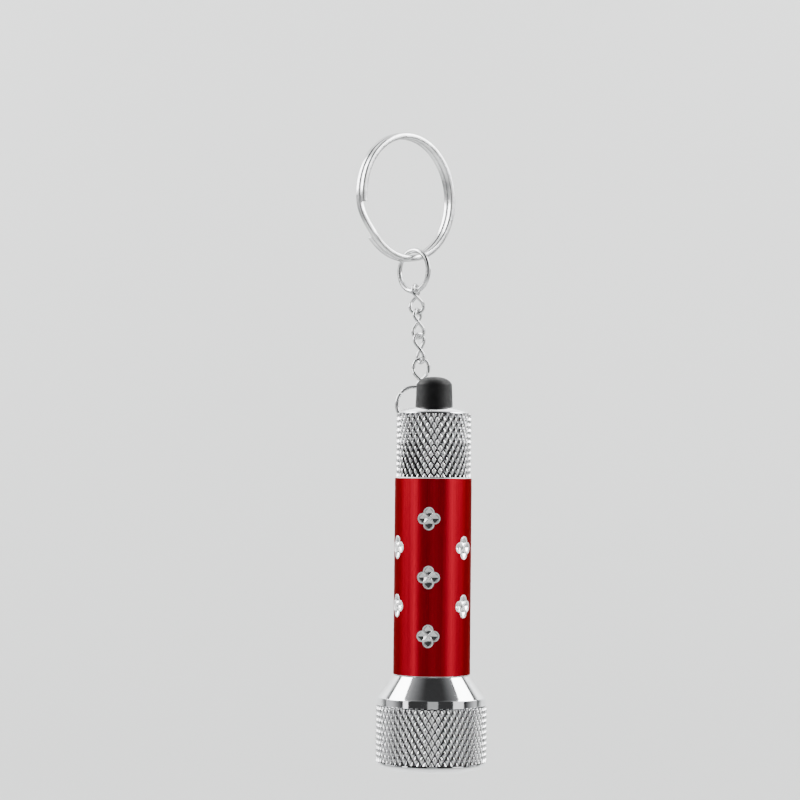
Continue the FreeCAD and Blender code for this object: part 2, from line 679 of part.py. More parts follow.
def split_ring():
    """Two flat turns of spring wire, one on the other, joined by a slanted crossover."""
    layer = (SPLIT_HEIGHT + SPLIT_LAYER_GAP) / 2
    start = SPLIT_CROSSOVER_AT + SPLIT_CROSSOVER / 2
    sweep = 360 - SPLIT_CROSSOVER
    turns = []
    for shift in (-layer, layer):
        face = Part.Face(wire_section(start, shift))
        turns.append(face.revolve(V(0, 0, 0), V(0, 0, 1), sweep))
    sections = []
    for i in range(CROSSOVER_SECTIONS):
        t = i / (CROSSOVER_SECTIONS - 1)
        ease = t * t * (3 - 2 * t)
        sections.append(wire_section(start - SPLIT_CROSSOVER * (1 - t), -layer + 2 * layer * ease))
    crossover = Part.makeLoft(sections, True, False)
    ring = turns[0].multiFuse([crossover, turns[1]])
    side, up = flat_dir(SPLIT_AZIMUTH), V(0, 0, 1)
    normal = side.cross(up)
    centre = split_centre()
    ring.Placement = FreeCAD.Placement(FreeCAD.Matrix(
        side.x, up.x, normal.x, centre.x, side.y, up.y, normal.y, centre.y,
        side.z, up.z, normal.z, centre.z, 0, 0, 0, 1))
    return ring


# ---------------------------------------------------------------- all pieces
def hang_point():
    return split_centre() + V(0, 0, SPLIT_RADIUS - SPLIT_WIDTH / 2)


def all_pieces():
    pieces = {
        "split_ring": split_ring(), "jump_ring": jump_ring(), "cap_ring": cap_ring(),
        "tail_cap": tail_cap(), "push_button": push_button(), "switch_plunger": switch_plunger(),
        "moving_contact": moving_contact(), "switch_cover": switch_cover(),
        "switch_housing": switch_housing(), "fixed_contact": fixed_contact(),
        "switch_spring": switch_spring(), "contact_rivet": contact_rivet(),
        "switch_retainer": switch_retainer(), "negative_spring": negative_spring(),
        "tail_oring": tail_oring(), "barrel": barrel(), "battery_sleeve": battery_sleeve(),
        "head_oring": head_oring(), "head_housing": head_housing(), "head_ring": head_ring(),
        "front_ring": front_ring(), "lens": lens(), "lens_gasket": lens_gasket(),
        "reflector": reflector(), "led_board": led_board(), "led_leads": led_leads(),
        "resistor": resistor(), "positive_spring": positive_spring(),
    }
    for (name, *shape), (_, low, high) in zip(LINKS, link_stack()):
        pieces[name] = chain_link(*shape, low, high)
    for i in range(CELL_COUNT):
        pieces[f"battery_{i + 1}"] = battery(i)
    for i, place in enumerate(led_places()):
        pieces[f"led_{i + 1}"] = led(place)
    return pieces


def main():
    os.makedirs("parts", exist_ok=True)
    shift = -hang_point()
    for name, shape in all_pieces().items():
        shape.translate(shift)
        for solid in shape.Solids:
            if not solid.isValid() or solid.Volume <= 0:
                print("not a sound solid:", name)
        print(f"{name}: {len(shape.Solids)} solid(s), {shape.Volume:.2f} mm3")
        shape.exportStep(f"parts/{name}.step")
    print("origin in the bench frame:", hang_point())


if __name__ == "__main__":
    main()
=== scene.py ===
"""Looks for the keychain flashlight: chrome, red anodising, rubber, plated wire and clear lamps.

Lengths named here are millimetres until MM turns them into metres.
Heights marked as bench heights start at the front rim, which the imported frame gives.
"""
import json
import math

import bmesh
import bpy
import numpy as np
from mathutils import Matrix, Vector


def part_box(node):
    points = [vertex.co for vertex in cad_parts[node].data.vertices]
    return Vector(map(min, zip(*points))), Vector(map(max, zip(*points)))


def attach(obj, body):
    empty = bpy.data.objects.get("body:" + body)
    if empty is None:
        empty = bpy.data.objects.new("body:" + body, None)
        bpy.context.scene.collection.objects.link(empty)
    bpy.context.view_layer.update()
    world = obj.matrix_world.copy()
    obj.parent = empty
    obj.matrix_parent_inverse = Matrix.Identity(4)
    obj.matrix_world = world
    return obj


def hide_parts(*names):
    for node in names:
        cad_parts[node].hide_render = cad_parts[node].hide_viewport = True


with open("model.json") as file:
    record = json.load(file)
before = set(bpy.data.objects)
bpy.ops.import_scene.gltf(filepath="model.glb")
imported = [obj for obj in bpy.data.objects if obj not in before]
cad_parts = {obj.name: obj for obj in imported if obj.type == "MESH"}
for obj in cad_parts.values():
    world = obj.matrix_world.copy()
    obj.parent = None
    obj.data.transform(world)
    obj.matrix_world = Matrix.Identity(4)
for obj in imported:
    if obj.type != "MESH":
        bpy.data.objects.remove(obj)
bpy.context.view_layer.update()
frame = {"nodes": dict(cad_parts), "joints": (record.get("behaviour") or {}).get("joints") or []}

MM = 0.001
TAU = 2 * math.pi
UP = Vector((0, 0, 1))

# edges flatter than this many degrees are shaded smooth
PLAIN_SMOOTH = 30
WIRE_SMOOTH = 40
KNURL_SMOOTH = 50
MOTIF_SMOOTH = 24

# ---------------------------------------------------------------- places from the frame
AXIS = (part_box("barrel")[0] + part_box("barrel")[1]) / 2
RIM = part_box("front_ring")[0].z


def bench(x, y, z):
    """A point given in millimetres from the torch axis and the front rim, in the row frame in metres."""
    return Vector((AXIS.x + x * MM, AXIS.y + y * MM, RIM + z * MM))


def level(node, end):
    """Bench height of a node's low (0) or high (1) end, in millimetres."""
    return (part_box(node)[end].z - RIM) / MM


def radius(node):
    """Half a node's width along X, in millimetres."""
    low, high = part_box(node)
    return (high.x - low.x) / 2 / MM


BARREL_LOW, BARREL_HIGH = level("barrel", 0), level("barrel", 1)
BARREL_RADIUS = radius("barrel")
HEAD_LOW, HEAD_HIGH = level("head_ring", 0), level("head_ring", 1)
HEAD_RADIUS = radius("head_ring")
CAP_RADIUS = radius("tail_cap")
CAP_LOW, CAP_TOP = level("tail_cap", 0), level("tail_cap", 1)
JOINTS = {joint["name"]: joint for joint in frame["joints"]}


# ---------------------------------------------------------------- mesh helpers
def new_object(name, verts, faces, smooth_angle=PLAIN_SMOOTH):
    mesh = bpy.data.meshes.new(name)
    mesh.from_pydata([tuple(v) for v in verts], [], faces)
    mesh.validate()
    tidy = bmesh.new()
    tidy.from_mesh(mesh)
    bmesh.ops.recalc_face_normals(tidy, faces=tidy.faces)
    tidy.to_mesh(mesh)
    tidy.free()
    mesh.shade_smooth()
    if smooth_angle < 180:
        mesh.set_sharp_from_angle(angle=math.radians(smooth_angle))
    piece = bpy.data.objects.new(name, mesh)
    bpy.context.scene.collection.objects.link(piece)
    return piece


def lathe(name, rows, columns, closed=True, smooth_angle=PLAIN_SMOOTH, centre=(0.0, 0.0)):
    """Turned piece about the torch axis, or about a centre given in millimetres from it.

    A row is (radius, height), each a number or one value per column. A closed profile joins
    the last row to the first. An open one ends in a flat face at each end.
    """
    angles = np.arange(columns) * TAU / columns
    verts = []
    for r, z in rows:
        r = np.broadcast_to(r, columns)
        z = np.broadcast_to(z, columns)
        verts += [bench(centre[0] + a * math.cos(t), centre[1] + a * math.sin(t), b)
                  for a, b, t in zip(r, z, angles)]
    faces = []
    count = len(rows)
    for i in range(count if closed else count - 1):
        low, high = i * columns, (i + 1) % count * columns
        for k in range(columns):
            n = (k + 1) % columns
            faces.append((low + k, low + n, high + n, high + k))
    if not closed:
        faces.append(tuple(range(columns)))
        last = (count - 1) * columns
        faces.append(tuple(range(last + columns - 1, last - 1, -1)))
    return new_object(name, verts, faces, smooth_angle)


def soften(piece, width, angle):
    """Small bevel on every edge sharper than the angle."""
    edge = piece.modifiers.new("bevel", "BEVEL")
    edge.width = width * MM
    edge.segments = 2
    edge.limit_method = "ANGLE"
    edge.angle_limit = math.radians(angle)
    edge.harden_normals = True
    return piece


def apply_modifiers(piece):
    depsgraph = bpy.context.evaluated_depsgraph_get()
    mesh = bpy.data.meshes.new_from_object(piece.evaluated_get(depsgraph))
    piece.modifiers.clear()
    piece.data = mesh


def cut(piece, cutter):
    """Takes the cutter's volume out of the piece and deletes the cutter."""
    hole = piece.modifiers.new("hole", "BOOLEAN")
    hole.object = cutter
    hole.solver = "EXACT"
    bpy.context.view_layer.update()
    apply_modifiers(piece)
    bpy.data.objects.remove(cutter)


def tube(name, path, section, closed):
    """Sweeps a section, a list of (side, up) offsets in mm, along a path of points in metres.

    The section's up side keeps turning with the path, without extra twist.
    """
    points = [Vector(p) for p in path]
    count = len(points)
    tangents = []
    for i in range(count):
        before = points[i - 1] if closed or i else points[0]
        after = points[(i + 1) % count] if closed or i < count - 1 else points[-1]
        tangents.append((after - before).normalized())
    normal = tangents[0].orthogonal().normalized()
    normals = [normal]
    for i in range(1, count):
        turn = tangents[i - 1].rotation_difference(tangents[i])
        normals.append((turn @ normals[-1]).normalized())
    if closed:
        last = tangents[-1].rotation_difference(tangents[0]) @ normals[-1]
        sine = tangents[0].dot(last.cross(normals[0]))
        gap = math.atan2(sine, last.dot(normals[0]))
        normals = [Matrix.Rotation(gap * i / count, 3, tangents[i]) @ normals[i] for i in range(count)]
    verts = []
    for point, tangent, side in zip(points, tangents, normals):
        up = tangent.cross(side)
        verts += [point + side * (a * MM) + up * (b * MM) for a, b in section]
    return new_object(name, verts, tube_faces(count, len(section), closed), WIRE_SMOOTH)


def tube_faces(count, around, closed):
    """Quads between rings of points; an open tube gets a flat face at each end."""
    faces = []
    for i in range(count if closed else count - 1):
        low, high = i * around, (i + 1) % count * around
        for k in range(around):
            n = (k + 1) % around
            faces.append((low + k, low + n, high + n, high + k))
    if not closed:
        last = (count - 1) * around
        faces.append(tuple(range(around)))
        faces.append(tuple(range(last + around - 1, last - 1, -1)))
    return faces


def round_section(size, around):
    angles = [TAU * k / around for k in range(around)]
    return [(size * math.cos(a), size * math.sin(a)) for a in angles]


def azimuth(degrees):
    """Level direction, counted from +X towards +Y."""
    return Vector((math.cos(math.radians(degrees)), math.sin(math.radians(degrees)), 0))


def smoothstep(t):
    t = min(max(t, 0.0), 1.0)
    return t * t * (3 - 2 * t)


# ---------------------------------------------------------------- material helpers
class Nodes:
    """A material's node tree, with short calls for the few kinds of node used here."""

    def __init__(self, name):
        self.material = bpy.data.materials.new(name)
        self.material.use_nodes = True
        self.tree = self.material.node_tree
        self.shader = self.tree.nodes["Principled BSDF"]
        self.place = self.tree.nodes.new("ShaderNodeTexCoord").outputs["Object"]

    def set(self, **values):
        for name, value in values.items():
            self.shader.inputs[name.replace("_", " ")].default_value = value
        return self

    def link(self, out, socket):
        self.tree.links.new(out, self.shader.inputs[socket] if isinstance(socket, str) else socket)

    def feed(self, value, socket):
        """Gives a socket a number, a colour or another node's output."""
        if isinstance(value, tuple):
            socket.default_value = (*value, 1)
        elif isinstance(value, (int, float)):
            socket.default_value = value
        else:
            self.link(value, socket)

    def cloud(self, place, scale, detail):
        node = self.tree.nodes.new("ShaderNodeTexNoise")
        node.inputs["Scale"].default_value = scale
        node.inputs["Detail"].default_value = detail
        self.link(place, node.inputs["Vector"])
        return node.outputs["Fac"]

    def noise(self, scale, detail, stretch=(1, 1, 1)):
        """Noise in the piece's own space, with a different scale along each axis if asked."""
        node = self.tree.nodes.new("ShaderNodeMapping")
        node.inputs["Scale"].default_value = stretch
        self.link(self.place, node.inputs["Vector"])
        return self.cloud(node.outputs["Vector"], scale, detail)

    def ramp(self, out, *stops):
        """Colours or greys by a value; a stop is (value, colour or grey)."""
        node = self.tree.nodes.new("ShaderNodeValToRGB")
        ramp = node.color_ramp
        while len(ramp.elements) < len(stops):
            ramp.elements.new(0.5)
        for element, (at, colour) in zip(ramp.elements, stops):
            element.position = at
            element.color = (*colour, 1) if isinstance(colour, tuple) else (colour, colour, colour, 1)
        self.link(out, node.inputs["Fac"])
        return node.outputs["Color"]

    def math(self, operation, a, b=None):
        node = self.tree.nodes.new("ShaderNodeMath")
        node.operation = operation
        for value, socket in zip((a, b), node.inputs):
            if value is not None:
                self.feed(value, socket)
        return node.outputs["Value"]

    def mix(self, factor, a, b, kind="MIX"):
        """Colour a turned into b by the factor, or with another kind of blend."""
        node = self.tree.nodes.new("ShaderNodeMix")
        node.data_type = "RGBA"
        node.blend_type = kind
        ends = [socket for socket in node.inputs if socket.type == "RGBA"]
        for value, socket in zip((factor, a, b), (node.inputs[0], *ends)):
            self.feed(value, socket)
        return next(socket for socket in node.outputs if socket.type == "RGBA")

    def bump(self, height, distance, strength):
        """Relief by a value; the distance is in millimetres."""
        node = self.tree.nodes.new("ShaderNodeBump")
        node.inputs["Distance"].default_value = distance * MM
        node.inputs["Strength"].default_value = strength
        self.link(height, node.inputs["Height"])
        self.link(node.outputs["Normal"], "Normal")

    def facing(self, *stops):
        """Value by how far the surface turns away from the eye: 0 is square on, 1 is edge on."""
        node = self.tree.nodes.new("ShaderNodeLayerWeight")
        node.inputs["Blend"].default_value = 0.5
        return self.ramp(node.outputs["Facing"], *stops)

    def shade(self, colour, factor):
        """The colour times a grey factor."""
        return self.mix(1.0, colour, factor, "MULTIPLY")

    def from_axis(self):
        """Two level offsets from the torch axis and the height, all in metres."""
        split = self.tree.nodes.new("ShaderNodeSeparateXYZ")
        self.link(self.place, split.inputs["Vector"])
        x = self.math("SUBTRACT", split.outputs["X"], AXIS.x)
        y = self.math("SUBTRACT", split.outputs["Y"], AXIS.y)
        return x, y, split.outputs["Z"]

    def below(self, skin):
        """How far a point lies inside a radius about the torch axis, in metres; skin is in millimetres."""
        x, y, _ = self.from_axis()
        squares = self.math("ADD", self.math("MULTIPLY", x, x), self.math("MULTIPLY", y, y))
        return self.math("SUBTRACT", skin * MM, self.math("SQRT", squares))

    def streaks(self, fine, long, detail):
        """Noise drawn out along the axis: fine is per radian around it, long per metre of height."""
        x, y, height = self.from_axis()
        angle = self.math("ARCTAN2", y, x)
        combine = self.tree.nodes.new("ShaderNodeCombineXYZ")
        self.link(self.math("MULTIPLY", angle, fine), combine.inputs["X"])
        self.link(self.math("MULTIPLY", height, long), combine.inputs["Y"])
        return self.cloud(combine.outputs["Vector"], 1.0, detail)


def dress(piece, material):
    piece.data.materials.clear()
    piece.data.materials.append(material)
    return piece


def dimmed(tone, factor):
    return tuple(c * factor for c in tone)


# ---------------------------------------------------------------- materials
# rough is the range of roughness in every material below, and grain the scale of its fine relief
def chrome(name="chrome_smooth", tint=(0.86, 0.87, 0.885), rough=(0.035, 0.11)):
    m = Nodes(name).set(Metallic=1.0)
    m.link(m.ramp(m.noise(260, 4), (0.3, rough[0]), (0.75, rough[1])), "Roughness")
    m.link(m.ramp(m.noise(900, 2), (0.25, dimmed(tint, 0.93)), (0.7, tint)), "Base Color")
    m.bump(m.noise(2600, 2, (1, 1, 0.12)), 0.002, 0.5)
    return m.material


def knurled_chrome(name, crest, depth):
    """Plated knurl: crests are burnished, and the grooves are darkened by painted shade with a little grime.
    """
    m = Nodes(name).set(Metallic=1.0)
    groove = m.math("DIVIDE", m.below(crest), depth * MM)
    # base colour darkens with groove depth: painted shade in the grooves, with a little grime; the burnished
    # crests stay brightest
    burnish_and_groove_shade = ((0.0, (0.95, 0.955, 0.96)), (0.30, (0.84, 0.845, 0.85)),
             (0.66, (0.42, 0.42, 0.43)), (0.97, (0.06, 0.06, 0.065)))
    m.link(m.ramp(groove, *burnish_and_groove_shade), "Base Color")
    cloud = m.math("MULTIPLY", m.noise(700, 3), 0.10)
    crest_haze = m.ramp(groove, (0.0, 0.15), (0.6, 0.04))
    m.link(m.math("ADD", cloud, crest_haze), "Roughness")
    m.bump(m.noise(3800, 3), 0.006, 0.6)
    return m.material


def red_anodised():
    """Dyed oxide over turned aluminium: fine streaks along the barrel and a soft gloss.

    It is brightest where it faces the eye; painted shade deepens the red towards its sides, and a painted
    sheen lightens it again at the very edges.
    """
    m = Nodes("red_anodised").set(Metallic=1.0, Coat_Weight=0.03, Coat_Roughness=0.2, Coat_IOR=1.4,
                                   Specular_Tint=(0.36, 0.10, 0.13, 1))
    streak = m.streaks(46, 22, 3)
    cloud = m.noise(120, 3)
    tone = m.ramp(streak, (0.30, (0.48, 0.003, 0.017)), (0.72, (0.62, 0.007, 0.032)))
    dyed = m.mix(m.ramp(cloud, (0.35, 0.0), (0.7, 0.28)), tone, (0.53, 0.004, 0.022))
    # painted shade darkening the base colour towards the sides, and a painted sheen lifting it at the grazing
    # edges
    painted_side_shade = m.facing((0.12, 1.0), (0.45, 0.40), (0.80, 0.34), (0.95, 0.65))
    m.link(m.shade(dyed, painted_side_shade), "Base Color")
    m.link(m.ramp(m.streaks(90, 40, 2), (0.3, 0.33), (0.75, 0.44)), "Roughness")
    m.bump(m.streaks(260, 260, 2), 0.0016, 0.5)
    return m.material


def cut_aluminium():
    """Cut metal: pale and satin on the rim near the skin, and mirror-like down in the facets."""
    m = Nodes("cut_aluminium")
    sunk = m.math("DIVIDE", m.below(BARREL_RADIUS), MM)
    m.link(m.ramp(m.noise(1400, 3), (0.3, (0.90, 0.905, 0.91)), (0.7, (0.98, 0.98, 0.985))), "Base Color")
    m.link(m.ramp(sunk, (0.07, 0.12), (0.13, 1.0)), "Metallic")
    m.link(m.ramp(sunk, (0.07, 0.28), (0.14, 0.06)), "Roughness")
    m.bump(m.noise(5200, 2, (1, 1, 0.2)), 0.004, 0.5)
    return m.material


def rubber(name, tone, rough=(0.42, 0.62), grain=1500):
    m = Nodes(name).set(Specular_IOR_Level=0.24)
    bloom = tuple(c * 1.8 + 0.003 for c in tone)
    m.link(m.ramp(m.noise(380, 4), (0.35, tone), (0.72, bloom)), "Base Color")
    m.link(m.ramp(m.noise(900, 3), (0.3, rough[0]), (0.7, rough[1])), "Roughness")
    m.bump(m.noise(grain, 4), 0.02, 0.55)
    return m.material


def wire_metal(name, tone, rough, drawn=(1, 1, 1), edge=0.16):
    """Plated or bare metal, darkened by painted shade where it turns away from the eye; edge is how much of
    its brightness that painted shade leaves.
    """
    m = Nodes(name).set(Metallic=1.0)
    plated = m.ramp(m.noise(500, 3), (0.3, dimmed(tone, 0.72)), (0.62, tone))
    # painted shade: the base colour darkens towards the edges that turn away from the eye
    m.link(m.shade(plated, m.facing((0.25, 1.0), (0.55, 0.50), (0.88, edge))), "Base Color")
    m.link(m.ramp(m.noise(900, 3, drawn), (0.3, rough[0]), (0.72, rough[1])), "Roughness")
    m.bump(m.noise(1800, 2, drawn), 0.002, 0.35)
    return m.material


def plastic(name, tone):
    m = Nodes(name)
    m.link(m.ramp(m.noise(300, 3), (0.3, dimmed(tone, 0.86)), (0.7, tone)), "Base Color")
    m.link(m.ramp(m.noise(700, 2), (0.3, 0.35), (0.7, 0.5)), "Roughness")
    m.bump(m.noise(1800, 3), 0.006, 0.5)
    return m.material


def clear(name, tint, rough=0.03, ior=1.49):
    m = Nodes(name).set(Transmission_Weight=1.0, IOR=ior)
    paler = tuple(min(1, c * 1.02) for c in tint)
    m.link(m.ramp(m.noise(240, 2), (0.3, tint), (0.7, paler)), "Base Color")
    m.link(m.ramp(m.noise(500, 3), (0.35, rough), (0.8, rough * 2.2)), "Roughness")
    m.bump(m.noise(420, 2), 0.003, 0.3)
    return m.material


def card(name, tone):
    m = Nodes(name)
    fibres = m.noise(600, 5, (1, 1, 6))
    m.link(m.ramp(fibres, (0.3, dimmed(tone, 0.88)), (0.7, tone)), "Base Color")
    m.link(m.ramp(m.noise(900, 2), (0.3, 0.55), (0.7, 0.75)), "Roughness")
    m.bump(m.noise(1600, 4), 0.01, 0.6)
    return m.material


def circuit_board():
    """Green solder mask over copper: the tracks show as slightly raised lighter bands."""
    m = Nodes("circuit_board").set(Coat_Weight=0.4, Coat_Roughness=0.15)
    node = m.tree.nodes.new("ShaderNodeTexVoronoi")
    node.inputs["Scale"].default_value = 420
    node.feature = "DISTANCE_TO_EDGE"
    m.link(m.place, node.inputs["Vector"])
    track = m.ramp(node.outputs["Distance"], (0.10, 0.0), (0.16, 1.0))
    m.link(m.mix(track, (0.05, 0.30, 0.12), (0.012, 0.13, 0.045)), "Base Color")
    m.link(m.ramp(m.noise(900, 2), (0.3, 0.32), (0.7, 0.45)), "Roughness")
    m.bump(track, 0.03, 0.5)
    return m.material


# ---------------------------------------------------------------- knurls and threads
KNURL_STEPS = 8  # columns to a tooth
KNURL_ROW = 1.0  # half a diamond's height
KNURL_DEPTH = 0.34
CREST_LAND = 0.90  # share of the height at which the crest goes flat
THREAD_STEPS = 8  # rows to a pitch


def triangle_wave(x):
    """0 at whole numbers, 1 halfway between them."""
    return 1 - np.abs(2 * (x - np.floor(x)) - 1)


def knurl_rows(crest, teeth, low, high, columns):
    """Rows of a diamond knurl with rounded crests, between two bench heights."""
    rows = []
    steps = max(2, round((high - low) / KNURL_ROW * KNURL_STEPS / 2))
    turn = np.arange(columns) / columns * teeth
    for i in range(steps + 1):
        z = low + (high - low) * i / steps
        rise = (z - low) / KNURL_ROW / 2
        pyramid = np.minimum(triangle_wave(turn + rise), triangle_wave(turn - rise))
        pyramid = np.sin(np.minimum(pyramid / CREST_LAND, 1) * math.pi / 2)
        rows.append((crest - KNURL_DEPTH * (1 - pyramid), z))
    return rows


def thread_rows(low, high, columns):
    """Rows of a right-hand screw thread on a neck; the ridge climbs one pitch in a turn.

    The ridge has a flat crest and root, and runs out over one pitch at both ends.
    """
    rows = []
    steps = round((high - low) / THREAD_PITCH * THREAD_STEPS)
    turn = np.arange(columns) / columns
    for i in range(steps + 1):
        z = low + (high - low) * i / steps
        ridge = np.clip(triangle_wave(z / THREAD_PITCH - turn + 0.5) * 1.5 - 0.15, 0, 1)
        run_out = min(1, (z - low) / THREAD_PITCH, (high - z) / THREAD_PITCH)
        rows.append((NECK_RADIUS - THREAD_DEPTH * (1 - ridge * run_out), z))
    return rows


def arc_rows(centre, size, start, end, steps):
    """Rows along a circular arc of the profile; angles in degrees from outward, counting up."""
    rows = []
    for i in range(steps + 1):
        a = math.radians(start + (end - start) * i / steps)
        rows.append((centre[0] + size * math.cos(a), centre[1] + size * math.sin(a)))
    return rows


# ---------------------------------------------------------------- threaded necks of the cap and the head
NECK_RADIUS = 6.4
NECK_BORE = 5.2
THREAD_PITCH = 0.75
THREAD_DEPTH = 0.35
NECK_ROOT = NECK_RADIUS - THREAD_DEPTH
GROOVE_RADIUS = 5.73
GROOVE_WIDTH = 0.9
JOINT_GAP = 0.05


# ---------------------------------------------------------------- tail cap
CAP_TEETH = 36
CAP_SHOULDER = CAP_TOP - 1.2
CROWN_RADIUS = 3.75
BUTTON_HOLE = 3.4
CEILING = CAP_TOP - 3.0


def tail_cap(material, crown_material):
    """Threaded neck, seal groove, knurled grip, a smooth low crown and the slanted hole for the ring."""
    columns = CAP_TEETH * KNURL_STEPS
    base = BARREL_HIGH + JOINT_GAP
    groove = base - GROOVE_WIDTH
    chamfer = 0.30
    root = CAP_RADIUS - KNURL_DEPTH
    rows = [(NECK_BORE + 0.2, CAP_LOW), (NECK_ROOT, CAP_LOW)]
    rows += thread_rows(CAP_LOW + 0.05, groove - 0.2, columns)
    rows += [(NECK_ROOT, groove), (GROOVE_RADIUS, groove + 0.02), (GROOVE_RADIUS, base)]
    rows += [(CAP_RADIUS - chamfer - 0.05, base), (CAP_RADIUS - chamfer, base + 0.03)]
    rows += knurl_rows(CAP_RADIUS, CAP_TEETH, base + 0.06, CAP_SHOULDER, columns)
    rows += [(root, CAP_SHOULDER + 0.02), (root - 0.02, CAP_SHOULDER + 0.14)]
    rows += crown_rows(root - 0.04, CAP_SHOULDER + 0.18)
    rows += [(BUTTON_HOLE + 0.08, CAP_TOP), (BUTTON_HOLE, CAP_TOP - 0.08), (BUTTON_HOLE, CEILING + 0.02),
             (NECK_BORE - 0.02, CEILING), (NECK_BORE, CEILING - 0.02), (NECK_BORE, CAP_LOW + 0.15)]
    cap = lathe("knurled_tail_cap", rows, columns, smooth_angle=KNURL_SMOOTH)
    cut(cap, ring_hole())
    cap.data.set_sharp_from_angle(angle=math.radians(KNURL_SMOOTH))
    dress(cap, material)
    cap.data.materials.append(crown_material)
    crown_foot = bench(0, 0, CAP_SHOULDER + 0.1).z
    for face in cap.data.polygons:
        face.material_index = 1 if face.center.z > crown_foot else 0
    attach(cap, "tail")
    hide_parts("tail_cap")


def crown_rows(edge, foot):
    """The crown bulges from its rim up to the flat beside the button."""
    rows = []
    steps = 14
    for i in range(steps + 1):
        t = i / steps
        r = edge + (CROWN_RADIUS - edge) * t
        z = foot + (CAP_TOP - foot) * math.sin(math.pi / 2 * t) ** 0.7
        rows.append((r, z))
    return rows


RING_HOLE_RADIUS = 0.84
RING_HOLE_HALF = 1.9  # half the straight bore, and the length of each flared mouth
RING_HOLE_FLARE = 1.1  # growth of the radius along a mouth


def ring_hole():
    """Cutter on the cap ring's hinge line: a straight hole with a flared mouth at each end."""
    joint = JOINTS["torch_swing"]
    middle, way = Vector(joint["pos_m"]), Vector(joint["axis"]).normalized()
    side = way.orthogonal().normalized()
    up = way.cross(side)
    around = 40
    stations = [(-2.0, 1), (-1.0, 0), (1.0, 0), (2.0, 1)]
    verts = []
    for at, flare in stations:
        along = RING_HOLE_HALF * at
        size = RING_HOLE_RADIUS + flare * RING_HOLE_FLARE * RING_HOLE_HALF
        for k in range(around):
            a = TAU * k / around
            out = side * math.cos(a) + up * math.sin(a)
            verts.append(middle + way * (along * MM) + out * (size * MM))
    return new_object("ring_hole_cutter", verts, tube_faces(len(stations), around, False))


# ---------------------------------------------------------------- button
BUTTON_FOOT_RADIUS = 3.35
BUTTON_SHOULDER_RADIUS = 3.2
BUTTON_DOME = 1.5
BUTTON_FLANGE = 5.0
BUTTON_SOCK = 2.2  # radius of the hollow that takes the plunger


def push_button(material):
    """Moulded rubber: a faint draft, a rounded shoulder, a shallow dome and a flange inside the cap."""
    top = level("push_button", 1)
    flange = level("push_button", 0)
    shoulder = top - BUTTON_DOME
    bevel, hub, roof = 0.1, 0.02, 1.9
    rows = [(BUTTON_SOCK, flange), (BUTTON_FLANGE - bevel, flange), (BUTTON_FLANGE, flange + bevel),
            (BUTTON_FLANGE, flange + 0.8), (BUTTON_FLANGE - bevel, flange + 0.9),
            (BUTTON_FOOT_RADIUS, flange + 0.92), (BUTTON_FOOT_RADIUS, CAP_TOP - 0.05)]
    side_steps, dome_steps = 12, 16
    for i in range(1, side_steps + 1):
        t = i / side_steps
        rows.append((BUTTON_FOOT_RADIUS + (BUTTON_SHOULDER_RADIUS - BUTTON_FOOT_RADIUS) * t,
                     CAP_TOP + (shoulder - 0.1 - CAP_TOP) * t))
    for i in range(dome_steps):
        a = math.pi / 2 * (1 - i / dome_steps)
        out = BUTTON_SHOULDER_RADIUS * math.sin(a) ** 0.8
        rows.append((out, shoulder + BUTTON_DOME * math.cos(a) ** 1.15))
    rows += [(hub, top), (hub, top - roof), (BUTTON_SOCK - bevel, top - roof), (BUTTON_SOCK, top - 2.0)]
    button = dress(lathe("rubber_button", rows, 96, smooth_angle=WIRE_SMOOTH), material)
    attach(button, "button")
    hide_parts("push_button")


# ---------------------------------------------------------------- barrel and motifs
THREAD_BORE = 6.45
CELL_BORE = 6.1
LOBE_RADIUS = 1.02
LOBE_SPREAD = 1.06  # from the motif's middle to each lobe's
LOBES = ((1, 0), (0, 1), (-1, 0), (0, -1))
MOTIF_DEPTH = 0.36
MOTIF_COLUMNS = 6
MOTIF_PITCH = 10.35
MOTIF_FIRST_COLUMN = -96.8
MOTIF_RIM = 0.26  # width of the bead
BEAD_TOP = 0.02
BEAD_HEIGHT = 0.13
FACET_TOP = 0.10
FACET_DEPTH = 0.255
PIT_PLACE = 0.86  # share of the lobe's distance at which its pit lies
PIT_HALF_WIDTH = 0.72
CROSS_TOP = 0.03
CROSS_WIDTH = 0.20


def motif_places():
    """Angle and bench height of each motif: columns of three and two by turns."""
    middle = (BARREL_LOW + BARREL_HIGH) / 2
    for column in range(MOTIF_COLUMNS):
        rows = 3 if column % 2 == 0 else 2
        turn = MOTIF_FIRST_COLUMN + column * 360 / MOTIF_COLUMNS
        for row in range(rows):
            yield turn, middle + (row - (rows - 1) / 2) * MOTIF_PITCH


def motif_outline(grow=0.0):
    """Points around the four-lobed outline, in millimetres along and up the barrel."""
    size = LOBE_RADIUS + grow
    reach = LOBE_SPREAD
    # adjoining lobes meet on the diagonals
    meet = (2 * reach + math.sqrt(4 * reach ** 2 - 8 * (reach ** 2 - size ** 2))) / 4
    half = math.atan2(meet, meet - reach)
    per_lobe = 22
    points = []
    for lobe in range(len(LOBES)):
        c, s = math.cos(lobe * math.pi / 2), math.sin(lobe * math.pi / 2)
        for i in range(per_lobe):
            a = -half + 2 * half * i / per_lobe
            u, v = reach + size * math.cos(a), size * math.sin(a)
            points.append((u * c - v * s, u * s + v * c))
    return points


def inside_depth(u, v):
    """How far a point lies inside the outline."""
    return max(LOBE_RADIUS - math.hypot(u - LOBE_SPREAD * x, v - LOBE_SPREAD * y) for x, y in LOBES)


def wrap(u, v, w, turn, height):
    """A point on the flat motif, at w above the barrel's skin, laid onto the barrel."""
    angle = math.radians(turn) + u / BARREL_RADIUS
    r = BARREL_RADIUS + w
    return bench(r * math.cos(angle), r * math.sin(angle), height + v)


